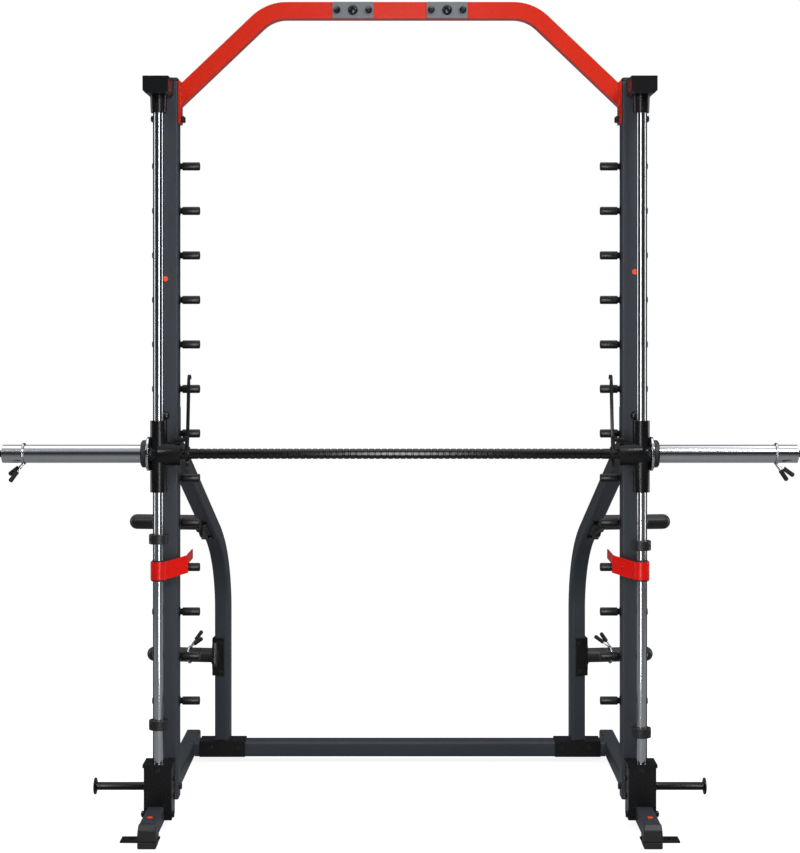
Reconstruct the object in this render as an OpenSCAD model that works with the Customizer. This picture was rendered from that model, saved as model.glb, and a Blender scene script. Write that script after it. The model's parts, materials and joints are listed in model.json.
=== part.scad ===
// Smith machine: two uprights on base rails, a guided bar with parking hooks, rack pegs,
// safety catches, plate storage horns and a pull-up bar.
// Millimetres. +Z is up and the front faces -Y. The origin is on the floor, under the middle
// of the base. Left is the -X side. Each piece is drawn for the right side and mirrored.

/* [Base] */
// Length of each base rail with its end plugs, front to back
rail_len = 1150; // [1050:5:1400]
// Side of the square base rail tube
rail_side = 45; // [40:1:50]
// Distance between the base rails, centre to centre
rail_span = 1318; // [1300:2:1560]
// Height of the rubber feet under the base rails
foot_h = 18; // [12:1:25]
// Depth of the rear cross beam, front to back
beam_d = 70; // [60:1:90]
// Distance from the rear end of the rails to the middle of the cross beam
beam_inset = 150; // [120:5:220]
// Width of the flat floor anchor beside each front foot
anchor_reach = 56; // [40:1:80]
// Diameter of the hole in each floor anchor
anchor_hole = 12; // [8:1:16]

/* [Uprights] */
// Height of the top of the uprights above the floor
upright_top = 2030; // [1980:5:2400]
// Width of an upright tube, left to right
upright_w = 70; // [60:1:80]
// Depth of an upright tube, front to back
upright_d = 60; // [50:1:70]
// Distance from the middle of a base rail in to the middle of its upright
upright_inset = 17; // [10:1:20]
// Distance from the front end of the rails to the middle of the uprights
upright_setback = 295; // [280:5:360]
// Wall thickness of every frame tube
tube_wall = 3; // [2:0.5:4]

/* [Rack pegs] */
// Number of rack pegs on each upright
peg_count = 13; // [10:1:13]
// Height step from one peg to the next
peg_pitch = 122.5; // [110:0.5:124]
// Height of the lowest peg above the floor
peg_first_z = 328; // [320:1:340]
// Diameter of a rack peg
peg_dia = 23; // [20:1:26]
// Length of a rack peg beyond the upright
peg_len = 56.5; // [50:0.5:62]

/* [Guide rods and stops] */
// Diameter of a guide rod
rod_dia = 25; // [20:1:28]
// Distance of the guide rods in front of the middle of the uprights
rod_offset = 87; // [82:1:100]
// Distance from the middle of an upright out to its guide rod
rod_outset = 11; // [9:1:14]
// Outer diameter of a stop ring
ring_dia = 53; // [46:1:56]
// Height of a stop ring
ring_h = 26; // [20:1:30]
// Heights of the middle of the upper stop rings, left then right
ring_upper_z = [783, 766];
// Heights of the middle of the lower stop rings, left then right
ring_lower_z = [281, 260];
// Heights of the round markers on the fronts of the uprights, left then right
marker_z = [1488, 1507];

/* [Foot brackets and band pegs] */
// Height of the top of a foot bracket above the floor
bracket_top = 177; // [165:1:200]
// Width of a foot bracket
bracket_w = 75; // [74:1:84]
// Thickness of the bracket sheet
sheet = 4; // [3:0.5:5]
// Diameter of a band peg
band_peg_dia = 22; // [18:1:26]
// Length of a band peg beyond its bracket
band_peg_len = 139; // [100:1:160]

/* [Rear braces and storage horns] */
// Distance from the middle of an upright in to the middle of its rear post
post_inset = 91; // [60:1:100]
// Width of a brace tube, left to right
brace_w = 45; // [40:1:50]
// Depth of a brace tube
brace_d = 50; // [40:1:60]
// Height at which a brace's centre line meets its upright
brace_top_z = 1065; // [1000:5:1150]
// Height of the corner between a brace's slope and its post
brace_corner_z = 636; // [600:2:660]
// Bend radius of a brace's centre line
brace_bend_r = 300; // [240:10:320]
// Height of the upper storage horns
horn_upper_z = 762; // [750:1:790]
// Height of the lower storage horns
horn_lower_z = 326; // [300:1:360]
// Outer diameter of a storage horn
horn_dia = 45; // [40:1:49]
// Reach of a storage horn from the middle of its tube
horn_reach = 243; // [220:1:280]

/* [Pull-up bar] */
// Height of the top of the pull-up bar above the top of the uprights
pullup_rise = 217; // [190:1:240]
// Side of the square pull-up bar tube
pullup_side = 45; // [40:1:50]
// Distance from the middle to each corner of the pull-up bar's centre line
pullup_corner_x = 357; // [320:1:380]
// Drop from the top of the uprights to where the pull-up bar's centre line meets its flange
pullup_root_drop = 38; // [34:1:60]
// Bend radius of the pull-up bar's centre line
pullup_bend_r = 115; // [100:5:130]

/* [Bar] */
// Diameter of the bar's gripping shaft
shaft_dia = 28; // [25:1:30]
// Outer diameter of a plate sleeve
sleeve_dia = 49; // [46:0.5:50]
// Length of a plate sleeve with its collar
sleeve_len = 398; // [350:1:430]
// Outer diameter of a carriage
carriage_dia = 45.8; // [43:0.2:48]
// Length of a carriage
carriage_len = 193; // [160:1:210]
// Height of a parked hook's peg above the bar
hook_rise = 181; // [170:1:200]
// Thickness of a hook plate
hook_t = 8; // [6:0.5:10]
// Index of the peg that the hooks park on, counted from the lowest
park_peg = 7; // [6:1:8]

/* [Safety catches and clips] */
// Outer diameter of a catch's ring
catch_dia = 44.5; // [42:0.5:48]
// Height of a catch's ring
catch_h = 48; // [40:1:52]
// Index of the peg that the catches rest on, counted from the lowest
catch_peg = 3; // [3:1:3]
// Wire diameter of a spring clip
wire_dia = 5; // [4:0.5:6]
// Distance of the bar clips from the outer end of their sleeves
bar_clip_inset = 57; // [40:1:100]

/* [Hidden] */
$fn = 64;

LEFT = -1;
RIGHT = 1;

// Clearances
running = 0.05;      // radial, between a shaft and what turns or slides on it
bolt_gap = 0.3;      // radial, round a bolt
loose = 0.3;         // radial, between a spring clip and what it grips
marker_dia = 15;
marker_h = 2;
corner_r = 6;        // outside corner radius of the frame tubes
lap_step = 0.05;     // extra wall where a straight run laps the end of a bend
$step = 0;           // extra wall of the section being drawn

// Base
rail_x = rail_span / 2;
rail_inner_x = rail_x - rail_side / 2;
rail_outer_x = rail_x + rail_side / 2;
rail_top = foot_h + rail_side;
rail_mid_z = foot_h + rail_side / 2;
front_y = -rail_len / 2;
rear_y = rail_len / 2;
front_plug = 20;
rear_plug = 6;
beam_y = rear_y - beam_inset;
foot_len = 50;
anchor_y = front_y + 86;
anchor_w = 50;
anchor_t = 5;

// Uprights
upright_x = rail_x - upright_inset;
upright_y = front_y + upright_setback;
upright_inner_x = upright_x - upright_w / 2;
upright_outer_x = upright_x + upright_w / 2;
upright_front_y = upright_y - upright_d / 2;
upright_rear_y = upright_y + upright_d / 2;

// Pegs
peg_stud_dia = 10;
function peg_z(i) = peg_first_z + i * peg_pitch;

// Guide rods
rod_x = upright_x + rod_outset;
rod_y = upright_y - rod_offset;
arm_h = 47;
arm_w = 70;
arm_front_y = rod_y - 64;
arm_bottom = upright_top - arm_h;
collar_h = 47;
collar_dia = rod_dia + 22;
rod_foot_z = bracket_top - 30;
rod_head_z = upright_top - 16;

// Foot brackets
bracket_x = upright_x + 11.5;
bracket_front_y = rod_y - 21;
bracket_low_z = rail_mid_z - 14;
bracket_bolt_y = rod_y - 8;
band_peg_y = (bracket_front_y + upright_front_y) / 2;
band_peg_z = 110;
band_disc_dia = 45;
band_disc_t = 6;
m10 = 10;

// Braces: the brace frame stands at the post, with -X towards the upright and -Y outward
flange_t = 5;
saddle_t = 4;
saddle_len = 141;
post_x = upright_x - post_inset;
post_z = rail_top + saddle_t;
brace_dx = upright_x - post_x;
brace_dy = beam_y - upright_rear_y;
brace_run = norm([brace_dx, brace_dy]);
brace_yaw = atan2(brace_dx, brace_dy);
brace_slant = atan2(brace_run, brace_top_z - brace_corner_z);
brace_tangent = brace_bend_r * tan(brace_slant / 2);
brace_slope_len = norm([brace_run, brace_top_z - brace_corner_z]) - brace_tangent;
brace_bolt_rise = 49;
horn_bolt_step = 44;

// Pull-up bar
pullup_mid_z = upright_top + pullup_rise - pullup_side / 2;
pullup_root_z = upright_top - pullup_root_drop;
pullup_flange_t = 6;
pullup_flange_x = upright_inner_x - pullup_flange_t;
pullup_drop = atan2(pullup_mid_z - pullup_root_z, pullup_flange_x - pullup_corner_x);
pullup_tangent = pullup_bend_r * tan(pullup_drop / 2);
pullup_flange_bottom = upright_top - 117;
pullup_bolt_z = pullup_flange_bottom + 14;
plate_x = 129;
plate_w = 112;
plate_t = 3;
plate_bolt_step = 43.5;
plate_front_y = upright_y - pullup_side / 2 - plate_t;

// Bar: the hooks stand swung forward, with their seats a little above the peg
hook_swing = 10;
park_lift = 9;
lip_depth = 8;
seat_r = peg_dia / 2 + 0.5;
hook_band = 7;
bar_z = peg_z(park_peg) - hook_rise + park_lift;
hook_x = upright_inner_x - 31;
hub_dia = shaft_dia + 35;
hub_inner_x = hook_x + hook_t / 2 + 12;
carriage_mid_z = bar_z - 7;
bush_dia = rod_dia + 11;
bush_len = 45;
axle_dia = sleeve_dia - 19;
disc_x = rod_x + carriage_dia / 2 + 1.1;
disc_t = 9;
disc_dia = sleeve_dia + 43;
sleeve_ring_dia = sleeve_dia + 25;
sleeve_ring_t = 14;
sleeve_end_x = disc_x + sleeve_len;
washer_dia = sleeve_dia - 7;
washer_t = 4;
bearing_len = 30;
bearing_dia = shaft_dia + 18;

// Catches
catch_z = peg_z(catch_peg) - 21.5;
catch_top = catch_z + catch_h + 11;
catch_t = 4;
catch_x = upright_inner_x - 25;
catch_corner_y = upright_front_y - 8;
catch_tip_y = upright_y + 95;
catch_bush_dia = rod_dia + 11;

// Clips
bar_clip_x = sleeve_end_x - bar_clip_inset;
stored_clip_reach = 106;

// ---------------------------------------------------------------- shared shapes

module on_side(side) {
    if (side == RIGHT) children();
    else mirror([1, 0, 0]) children();
}

module both_sides() {
    for (side = [LEFT, RIGHT]) on_side(side) children();
}

// A filled rectangle with round corners, centred
module round_rect(w, d, r) {
    square([w - 2 * r, d], center = true);
    square([w, d - 2 * r], center = true);
    for (x = [-1, 1], y = [-1, 1])
        translate([x * (w / 2 - r), y * (d / 2 - r)]) circle(r);
}

// The wall of a rectangular tube, w along X and d along Y
module tube_section(w, d, r = corner_r) {
    difference() {
        round_rect(w + 2 * $step, d + 2 * $step, r);
        round_rect(w - 2 * tube_wall - 2 * $step, d - 2 * tube_wall - 2 * $step,
                   r - tube_wall + 0.5);
    }
}

// Runs a section up for len_a, bends it towards -X through deg, then runs it on for len_b
module bent_run(len_a, deg, bend_r, len_b) {
    linear_extrude(len_a) children();
    translate([0, 0, len_a]) bend(deg, bend_r, len_b) children();
}

// The bend alone, and the straight run after it. The run laps the end of the bend, with a wall
// a hair thicker inside and out, so that the two join as one solid
module bend(deg, bend_r, len_b) {
    lap = 2;
    translate([-bend_r, 0, 0]) {
        rotate([90, 0, 0]) rotate_extrude(angle = deg, $fn = 96)
            translate([bend_r, 0]) children();
        rotate([0, -deg, 0]) translate([bend_r, 0, -lap])
            let ($step = lap_step) linear_extrude(len_b + lap) children();
    }
}

// A round bar from point p to point q
module rod_between(p, q, dia) {
    v = q - p;
    translate(p) rotate([0, acos(v.z / norm(v)), atan2(v.y, v.x)])
        cylinder(d = dia, h = norm(v));
}

// A cylinder along +X from x = 0
module x_cylinder(dia, len) {
    rotate([0, 90, 0]) cylinder(d = dia, h = len);
}

// A cylinder along +Y from y = 0
module y_cylinder(dia, len) {
    rotate([-90, 0, 0]) cylinder(d = dia, h = len);
}

// A hexagonal bolt head or nut along +Z
module hex(size, h) {
    cylinder(d = size / cos(30), h = h, $fn = 6);
}

// A bolt along +Z: head below z = 0, shank of length len, nut and thread end above it
module bolt(dia, len) {
    translate([0, 0, -0.6 * dia]) hex(1.6 * dia, 0.6 * dia);
    cylinder(d = dia, h = len + 0.9 * dia);
    translate([0, 0, len]) hex(1.6 * dia, 0.7 * dia);
}

// A flat strip in plan from point p to point q
module strip(p, q, t) {
    v = q - p;
    translate(p) {
        rotate(atan2(v.y, v.x)) translate([0, -t / 2]) square([norm(v), t]);
        circle(d = t);
    }
    translate(q) circle(d = t);
}

// ---------------------------------------------------------------- base

module base_rail(side) color("#2c3036") on_side(side) difference() {
    translate([rail_x, rear_y - rear_plug, rail_mid_z]) rotate([90, 0, 0])
        linear_extrude(rail_len - rear_plug - front_plug) tube_section(rail_side, rail_side);
    translate([0, bracket_bolt_y, bracket_low_z + 14])
        x_cylinder(m10 + 2 * bolt_gap, rail_outer_x + 1);
}
module base_rail_left() base_rail(LEFT);
module base_rail_right() base_rail(RIGHT);

// Wedge-shaped front plugs, flat rear plugs and the caps of the uprights
module tube_end_plugs() color("#17181a") both_sides() {
    flare = 3.5;
    intersection() {
        translate([rail_x, front_y + front_plug, 0]) rotate([90, 0, 0])
            linear_extrude(front_plug) polygon([
                [-rail_side / 2 - flare, foot_h], [rail_side / 2 + flare, foot_h],
                [rail_side / 2, rail_top], [-rail_side / 2, rail_top]]);
        translate([rail_x - rail_side, 0, 0]) rotate([90, 0, 90])
            linear_extrude(2 * rail_side) polygon([
                [front_y, foot_h], [front_y + front_plug, foot_h],
                [front_y + front_plug, rail_top], [front_y + 10, rail_top],
                [front_y, rail_top - 14]]);
    }
    translate([rail_x, rear_y, rail_mid_z]) rotate([90, 0, 0])
        linear_extrude(rear_plug) round_rect(rail_side, rail_side, corner_r);
    translate([upright_x, upright_y, upright_top])
        linear_extrude(10) round_rect(upright_w - 4, upright_d - 4, corner_r);
}

module rubber_feet() color("#121213") both_sides()
    for (y = [front_y, rear_y - foot_len])
        translate([rail_x - rail_side / 2 - 2, y, 0])
            cube([rail_side + 4, foot_len, foot_h]);

// Flat tabs on the floor, each under a block that is welded below its rail
module floor_anchors() color("#1d1f22") both_sides() difference() {
    union() {
        translate([rail_inner_x, anchor_y - anchor_w / 2, 0])
            cube([rail_side + anchor_reach, anchor_w, anchor_t]);
        translate([rail_inner_x + 4, anchor_y - anchor_w / 2, anchor_t])
            cube([rail_side - 8, anchor_w, foot_h - anchor_t]);
    }
    translate([rail_outer_x + anchor_reach / 2, anchor_y, -1])
        cylinder(d = anchor_hole, h = anchor_t + 2);
}

module rear_beam() color("#2c3036") difference() {
    translate([-rail_inner_x, beam_y, rail_mid_z]) rotate([90, 0, 90])
        linear_extrude(2 * rail_inner_x) tube_section(beam_d, rail_side);
    both_sides() beam_bolt_holes();
}

function beam_bolt_x() = [post_x - 51, post_x + 37];
module beam_bolt_holes() for (x = beam_bolt_x())
    translate([x, beam_y - beam_d, rail_mid_z + 6]) y_cylinder(m10 + 2 * bolt_gap, 2 * beam_d);

// Folded plates over the beam, which carry the posts
module beam_saddles() color("#1d1f22") both_sides() difference() {
    translate([post_x - saddle_len / 2, beam_y - beam_d / 2 - saddle_t, foot_h])
        cube([saddle_len, beam_d + 2 * saddle_t, rail_side + saddle_t]);
    translate([post_x - saddle_len, beam_y - beam_d / 2, 0])
        cube([2 * saddle_len, beam_d, rail_top]);
    beam_bolt_holes();
}

module beam_bolts() color("#17181a") both_sides() for (x = beam_bolt_x())
    translate([x, beam_y - beam_d / 2 - saddle_t, rail_mid_z + 6])
        rotate([-90, 0, 0]) bolt(m10, beam_d + 2 * saddle_t);

// ---------------------------------------------------------------- uprights

module upright(side) color("#3a3f44") on_side(side) difference() {
    translate([upright_x, upright_y, rail_top])
        linear_extrude(upright_top - rail_top) tube_section(upright_w, upright_d);
    for (i = [0 : peg_count - 1])
        translate([upright_inner_x - 1, upright_y, peg_z(i)])
            x_cylinder(peg_stud_dia + 2 * bolt_gap, upright_w + 2);
    pullup_bolt_axes() x_cylinder(m10 + 2 * bolt_gap, upright_w + 40);
    for (z = brace_bolt_z())
        translate([upright_x, upright_front_y - 1, z])
            y_cylinder(m10 + 2 * bolt_gap, upright_d + 2);
}
module upright_left() upright(LEFT);
module upright_right() upright(RIGHT);

// A peg with a flange, a narrow neck, and a stud through the upright
module rack_pegs(side) color("#1a1b1d") on_side(side) for (i = [0 : peg_count - 1])
    translate([upright_inner_x, upright_y, peg_z(i)]) {
        translate([-2.5, 0, 0]) x_cylinder(peg_dia + 5, 2.5);
        translate([-10, 0, 0]) x_cylinder(peg_dia - 6, 8);
        translate([-peg_len, 0, 0]) x_cylinder(peg_dia - 3, 2);
        translate([1.5 - peg_len, 0, 0]) x_cylinder(peg_dia, peg_len - 9.5);
        translate([-3, 0, 0]) x_cylinder(peg_stud_dia, upright_w + 8);
    }
module rack_pegs_left() rack_pegs(LEFT);
module rack_pegs_right() rack_pegs(RIGHT);

module peg_nuts() color("#1a1b1d") both_sides() for (i = [0 : peg_count - 1])
    translate([upright_outer_x, upright_y, peg_z(i)]) rotate([0, 90, 0]) difference() {
        union() {
            cylinder(d = 20, h = 1);
            translate([0, 0, 1]) hex(16, 3.5);
        }
        translate([0, 0, -1]) cylinder(d = peg_stud_dia + 0.2, h = 8);
    }

// ---------------------------------------------------------------- foot brackets

// A box of folded sheet round the rod's foot, with side flanges beside the base rail
module foot_bracket(side) color("#202327") on_side(side) difference() {
    depth = upright_front_y - bracket_front_y;
    low = bracket_x - bracket_w / 2;
    union() {
        translate([low, bracket_front_y, bracket_low_z])
            cube([bracket_w, sheet, bracket_top - bracket_low_z]);
        for (x = [low, low + bracket_w - sheet]) translate([x, bracket_front_y, bracket_low_z])
            cube([sheet, depth, bracket_top - bracket_low_z]);
        translate([low, upright_front_y - sheet, rail_top])
            cube([bracket_w, sheet, bracket_top - rail_top]);
        translate([low - 3, bracket_front_y - 3, bracket_top - sheet])
            cube([bracket_w + 6, depth + 3, sheet]);
        translate([low - 3, bracket_front_y - 3, bracket_top - 9])
            cube([bracket_w + 6, 3, 9]);
        translate([rod_x, rod_y, rod_foot_z - sheet])
            cylinder(d = rod_dia + 14, h = bracket_top - rod_foot_z);
    }
    // the base rail passes through the front plate
    translate([rail_inner_x - 0.5, bracket_front_y - 1, 0])
        cube([rail_side + 1, depth + 2, rail_top]);
    translate([rod_x, rod_y, rod_foot_z]) cylinder(d = rod_dia + 0.2, h = 60);
    translate([low - 1, bracket_bolt_y, bracket_low_z + 14])
        x_cylinder(m10 + 2 * bolt_gap, bracket_w + 2);
    translate([low + bracket_w / 2, band_peg_y, band_peg_z])
        x_cylinder(m10 + 2 * bolt_gap, bracket_w);
    translate([bracket_x, bracket_front_y - 1, bracket_top - 16])
        y_cylinder(8.6, rod_y - bracket_front_y + 1);
    for (z = [82, 128]) translate([low - 1, band_peg_y + 10, z]) x_cylinder(8.6, sheet + 2);
}
module foot_bracket_left() foot_bracket(LEFT);
module foot_bracket_right() foot_bracket(RIGHT);

module foot_bracket_bolts() color("#17181a") both_sides() {
    low = bracket_x - bracket_w / 2;
    translate([low, bracket_bolt_y, bracket_low_z + 14])
        rotate([0, 90, 0]) bolt(m10, bracket_w);
    // the set screw that holds the rod's foot
    translate([bracket_x, bracket_front_y, bracket_top - 16]) rotate([-90, 0, 0]) {
        translate([0, 0, -5]) hex(13, 5);
        cylinder(d = 8, h = rod_y - rod_dia / 2 - bracket_front_y - bolt_gap);
    }
    for (z = [82, 128]) translate([low, band_peg_y + 10, z]) rotate([0, 90, 0]) bolt(8, sheet);
    translate([upright_inner_x, upright_y, rail_top + 30])
        rotate([0, -90, 0]) { hex(16, 7); cylinder(d = 22, h = 1.5); }
    translate([rail_inner_x, upright_y, rail_mid_z + 8])
        rotate([0, -90, 0]) { hex(16, 7); cylinder(d = 22, h = 1.5); }
}

module band_pegs() color("#1a1b1d") both_sides()
    translate([bracket_x + bracket_w / 2, band_peg_y, band_peg_z]) {
        x_cylinder(band_peg_dia + 12, 4);
        x_cylinder(band_peg_dia, band_peg_len);
        translate([band_peg_len - band_disc_t, 0, 0]) x_cylinder(band_disc_dia, band_disc_t);
        translate([-sheet - 14, 0, 0]) x_cylinder(m10, 20);
        translate([-sheet - 8, 0, 0]) x_cylinder(17, 8);
    }

// ---------------------------------------------------------------- guide rods

module guide_rod(side) color("#d4d8dc") on_side(side)
    translate([rod_x, rod_y, rod_foot_z]) cylinder(d = rod_dia, h = rod_head_z - rod_foot_z);
module guide_rod_left() guide_rod(LEFT);
module guide_rod_right() guide_rod(RIGHT);

// The block that holds a rod's head, chamfered along its lower edges
module top_arm(side) color("#26292d") on_side(side) difference() {
    cut = 8;
    half = arm_w / 2;
    translate([rod_x + 1, upright_front_y, 0]) rotate([90, 0, 0])
        linear_extrude(upright_front_y - arm_front_y) polygon([
            [-half, upright_top], [-half, arm_bottom + cut], [cut - half, arm_bottom],
            [half - cut, arm_bottom], [half, arm_bottom + cut], [half, upright_top]]);
    translate([rod_x, rod_y, arm_bottom - 1])
        cylinder(d = rod_dia + 0.2, h = rod_head_z - arm_bottom + 1.2);
}
module top_arm_left() top_arm(LEFT);
module top_arm_right() top_arm(RIGHT);

module rod_collars() color("#1d1f22") both_sides()
    translate([rod_x, rod_y, arm_bottom - collar_h]) difference() {
        union() {
            cylinder(d1 = collar_dia - 4, d2 = collar_dia, h = collar_h - 8);
            translate([0, 0, collar_h - 8]) cylinder(d = collar_dia, h = 8);
        }
        translate([0, 0, -1]) cylinder(d = rod_dia + 0.2, h = collar_h + 2);
    }

// Split clamping rings; heights are given left then right
module stop_rings() color("#17181a") for (n = [0, 1], z = [ring_upper_z[n], ring_lower_z[n]])
    on_side(n == 0 ? LEFT : RIGHT) translate([rod_x, rod_y, z - ring_h / 2]) difference() {
        cylinder(d = ring_dia, h = ring_h);
        translate([0, 0, -1]) cylinder(d = rod_dia + 0.2, h = ring_h + 2);
        translate([0, -1.5, -1]) cube([ring_dia, 3, ring_h + 2]);
    }

module marker_plugs() color("#e8401c") {
    for (n = [0, 1]) translate([(2 * n - 1) * upright_x, upright_front_y, marker_z[n]])
        rotate([90, 0, 0]) cylinder(d = marker_dia, h = marker_h);
    both_sides() translate([rail_x + 1, front_y + 75, rail_top])
        cylinder(d = marker_dia, h = marker_h);
}

// ---------------------------------------------------------------- braces and horns

function brace_bolt_z() = [brace_top_z - brace_bolt_rise, brace_top_z + brace_bolt_rise];

module brace_frame() translate([post_x, beam_y, 0]) rotate(90 + brace_yaw) children();

// Places a child on the post, or on the slope, at the given height, with +Z along the tube
module at_lower_horn() brace_frame() translate([0, 0, horn_lower_z]) children();
module at_upper_horn() {
    run = (horn_upper_z - brace_corner_z) * tan(brace_slant);
    brace_frame() translate([-run, 0, horn_upper_z]) rotate([0, -brace_slant, 0]) children();
}
module at_horns() {
    at_lower_horn() children();
    at_upper_horn() children();
}

module brace(side) color("#26292e") on_side(side) difference() {
    brace_frame() translate([0, 0, post_z])
        bent_run(brace_corner_z - brace_tangent - post_z, brace_slant, brace_bend_r,
                 brace_slope_len + 60) tube_section(brace_d, brace_w, 8);
    translate([upright_x - 200, upright_rear_y + flange_t - 400, 0]) cube([400, 400, 2000]);
    at_horns() horn_bolt_holes();
}
module brace_left() brace(LEFT);
module brace_right() brace(RIGHT);

module brace_flanges() color("#26292e") both_sides() difference() {
    translate([upright_x - upright_w / 2, upright_rear_y, brace_top_z - 70])
        cube([upright_w, flange_t, 140]);
    for (z = brace_bolt_z()) translate([upright_x, upright_rear_y - 1, z])
        y_cylinder(m10 + 2 * bolt_gap, flange_t + 2);
}

// Dome heads in front, and nuts behind the flange
module brace_bolts() color("#17181a") both_sides() for (z = brace_bolt_z())
    translate([upright_x, upright_front_y, z]) rotate([-90, 0, 0]) {
        translate([0, 0, -2]) cylinder(d = 24, h = 2);
        translate([0, 0, -7]) cylinder(d1 = 12, d2 = 20, h = 5);
        cylinder(d = m10, h = upright_d + flange_t + 8);
        if (z > brace_top_z) translate([0, 0, upright_d + flange_t]) hex(16, 7);
    }

module horn_bolt_holes() for (z = [-horn_bolt_step, horn_bolt_step])
    translate([-brace_d, 0, z]) x_cylinder(8 + 2 * bolt_gap, 2 * brace_d);

// A scalloped channel round the outer half of the tube
module horn_brackets() color("#1a1b1d") both_sides() at_horns() difference() {
    web = 6;
    ear = 4;
    depth = brace_d + 2 * ear;
    translate([0, -brace_w / 2 - web, 0]) rotate([-90, 0, 0]) {
        linear_extrude(web) {
            square([depth, 90], center = true);
            for (z = [-42, 42]) translate([0, z]) square([depth - 14, 34], center = true);
            for (z = [-28, 28]) translate([0, z]) circle(d = depth + 6);
        }
        linear_extrude(brace_w * 0.8) for (x = [-1, 1]) {
            translate([x * (brace_d + ear) / 2, 0]) square([ear, 116], center = true);
        }
    }
    horn_bolt_holes();
    fit = 2 * lap_step;
    translate([-brace_d / 2 - fit, -brace_w / 2 - fit, -100])
        cube([brace_d + 2 * fit, brace_w + fit, 200]);
}

module horn_bolts() color("#17181a") both_sides() at_horns()
    for (z = [-horn_bolt_step, horn_bolt_step])
        translate([-brace_d / 2 - 4, 0, z]) rotate([0, 90, 0]) bolt(8, brace_d + 8);

// A tube with a root ring and a domed cap, outward from the bracket
module horn() translate([0, -brace_w / 2 - 6, 0]) rotate([90, 0, 0]) {
    straight = horn_reach - brace_w / 2 - 6 - horn_dia / 2;
    cylinder(d = horn_dia + 14, h = 5);
    difference() {
        cylinder(d = horn_dia, h = straight);
        translate([0, 0, -1]) cylinder(d = horn_dia - 2 * tube_wall, h = straight - 9);
    }
    translate([0, 0, straight]) intersection() {
        sphere(d = horn_dia);
        cylinder(d = 2 * horn_dia, h = horn_dia);
    }
}
module upper_horns() color("#1d1e20") both_sides() at_upper_horn()
    rotate([0, brace_slant, 0]) horn();
module lower_horns() color("#1d1e20") both_sides() at_lower_horn() horn();

// ---------------------------------------------------------------- pull-up bar

module pullup_section() difference() {
    square(pullup_side + 2 * $step, center = true);
    square(pullup_side - 2 * tube_wall - 2 * $step, center = true);
}

module pullup_bar() color("#e0351f") {
    flat = pullup_corner_x - pullup_tangent;
    slope = norm([pullup_flange_x - pullup_corner_x, pullup_mid_z - pullup_root_z]);
    difference() {
        translate([0, upright_y, pullup_mid_z]) {
            translate([-flat, 0, 0]) rotate([0, 90, 0])
                linear_extrude(2 * flat) pullup_section();
            both_sides() translate([flat, 0, 0]) mirror([0, 0, 1]) rotate([0, 90, 0])
                bend(pullup_drop, pullup_bend_r, slope - pullup_tangent + 60) pullup_section();
        }
        both_sides() translate([pullup_flange_x, upright_y - 100, 0]) cube([400, 200, 3000]);
    }
}

module pullup_bolt_axes() for (y = [-14, 14])
    translate([pullup_flange_x - 20, upright_y + y, pullup_bolt_z]) children();

module pullup_flanges() color("#e0351f") both_sides() difference() {
    translate([pullup_flange_x, upright_y - upright_d / 2, pullup_flange_bottom])
        cube([pullup_flange_t, upright_d, upright_top - pullup_flange_bottom]);
    pullup_bolt_axes() x_cylinder(m10 + 2 * bolt_gap, 60);
}

module pullup_plates() color("#6d7277") both_sides() difference() {
    translate([plate_x, plate_front_y + plate_t, pullup_mid_z]) rotate([90, 0, 0])
        linear_extrude(plate_t) round_rect(plate_w, pullup_side, 2);
    for (x = [-plate_bolt_step, plate_bolt_step])
        translate([plate_x + x, plate_front_y - 1, pullup_mid_z]) y_cylinder(8.6, plate_t + 2);
}

module pullup_bolts() color("#17181a") {
    both_sides() {
        translate([20, 0, 0]) pullup_bolt_axes() rotate([0, 90, 0]) {
            translate([0, 0, -9]) hex(16, 7);
            translate([0, 0, -2]) cylinder(d = 20, h = 2);
            cylinder(d = m10, h = upright_w + pullup_flange_t + 7);
            translate([0, 0, upright_w + pullup_flange_t]) hex(16, 6);
        }
        for (x = [-plate_bolt_step, plate_bolt_step])
            translate([plate_x + x, plate_front_y, pullup_mid_z]) rotate([90, 0, 0]) {
                difference() {
                    cylinder(d = 19, h = 7);
                    translate([0, 0, 2]) hex(8, 6);
                }
                translate([0, 0, -plate_t]) cylinder(d = 8, h = plate_t);
            }
        translate([plate_x, plate_front_y, pullup_mid_z]) rotate([90, 0, 0]) {
            cylinder(d = 27, h = 3);
            translate([0, 0, 3]) cylinder(d1 = 24, d2 = 16, h = 4);
        }
    }
}

// ---------------------------------------------------------------- bar and carriages

module bar_shaft() color("#1b1c1e") {
    half = hub_inner_x + bearing_len;
    translate([-half, rod_y, bar_z]) x_cylinder(shaft_dia, 2 * half);
}

// One parking hook, in plan of its own plate: boss, shank, an arc over the peg that ends in a
// short lip, and a tail below the bar. It is drawn as parked, then swung forward
module hook(side) color("#202125") on_side(side) {
    peg = [rod_offset, hook_rise];
    shank_top = [peg.x - seat_r - hook_band / 2, peg.y];
    lip_angle = acos(1 - lip_depth / seat_r);
    pin = [-8, hub_dia / 2 + 10];
    translate([hook_x - hook_t / 2, rod_y, bar_z]) rotate([hook_swing, 0, 0])
    rotate([90, 0, 90]) {
        linear_extrude(hook_t) difference() {
            union() {
                circle(d = shaft_dia + 16);
                strip([0, 0], [-6, -26], 16);
                translate([2 * pin.x, 0]) square([-2 * pin.x, pin.y + 9]);
                strip([0, 0], shank_top, hook_band * 2.2);
                translate(peg) difference() {
                    circle(r = seat_r + hook_band);
                    lip_cut(lip_angle);
                }
            }
            translate(peg) circle(r = seat_r);
            circle(d = shaft_dia);
        }
        translate([0, 0, -3]) difference() {
            cylinder(d = shaft_dia + 10, h = 3);
            translate([0, 0, -1]) cylinder(d = shaft_dia, h = 5);
        }
        // stop pin above the bearing hub
        translate([pin.x, pin.y, hook_t - 1]) cylinder(d = 12, h = 26);
    }
}
module hook_left() hook(LEFT);
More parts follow.
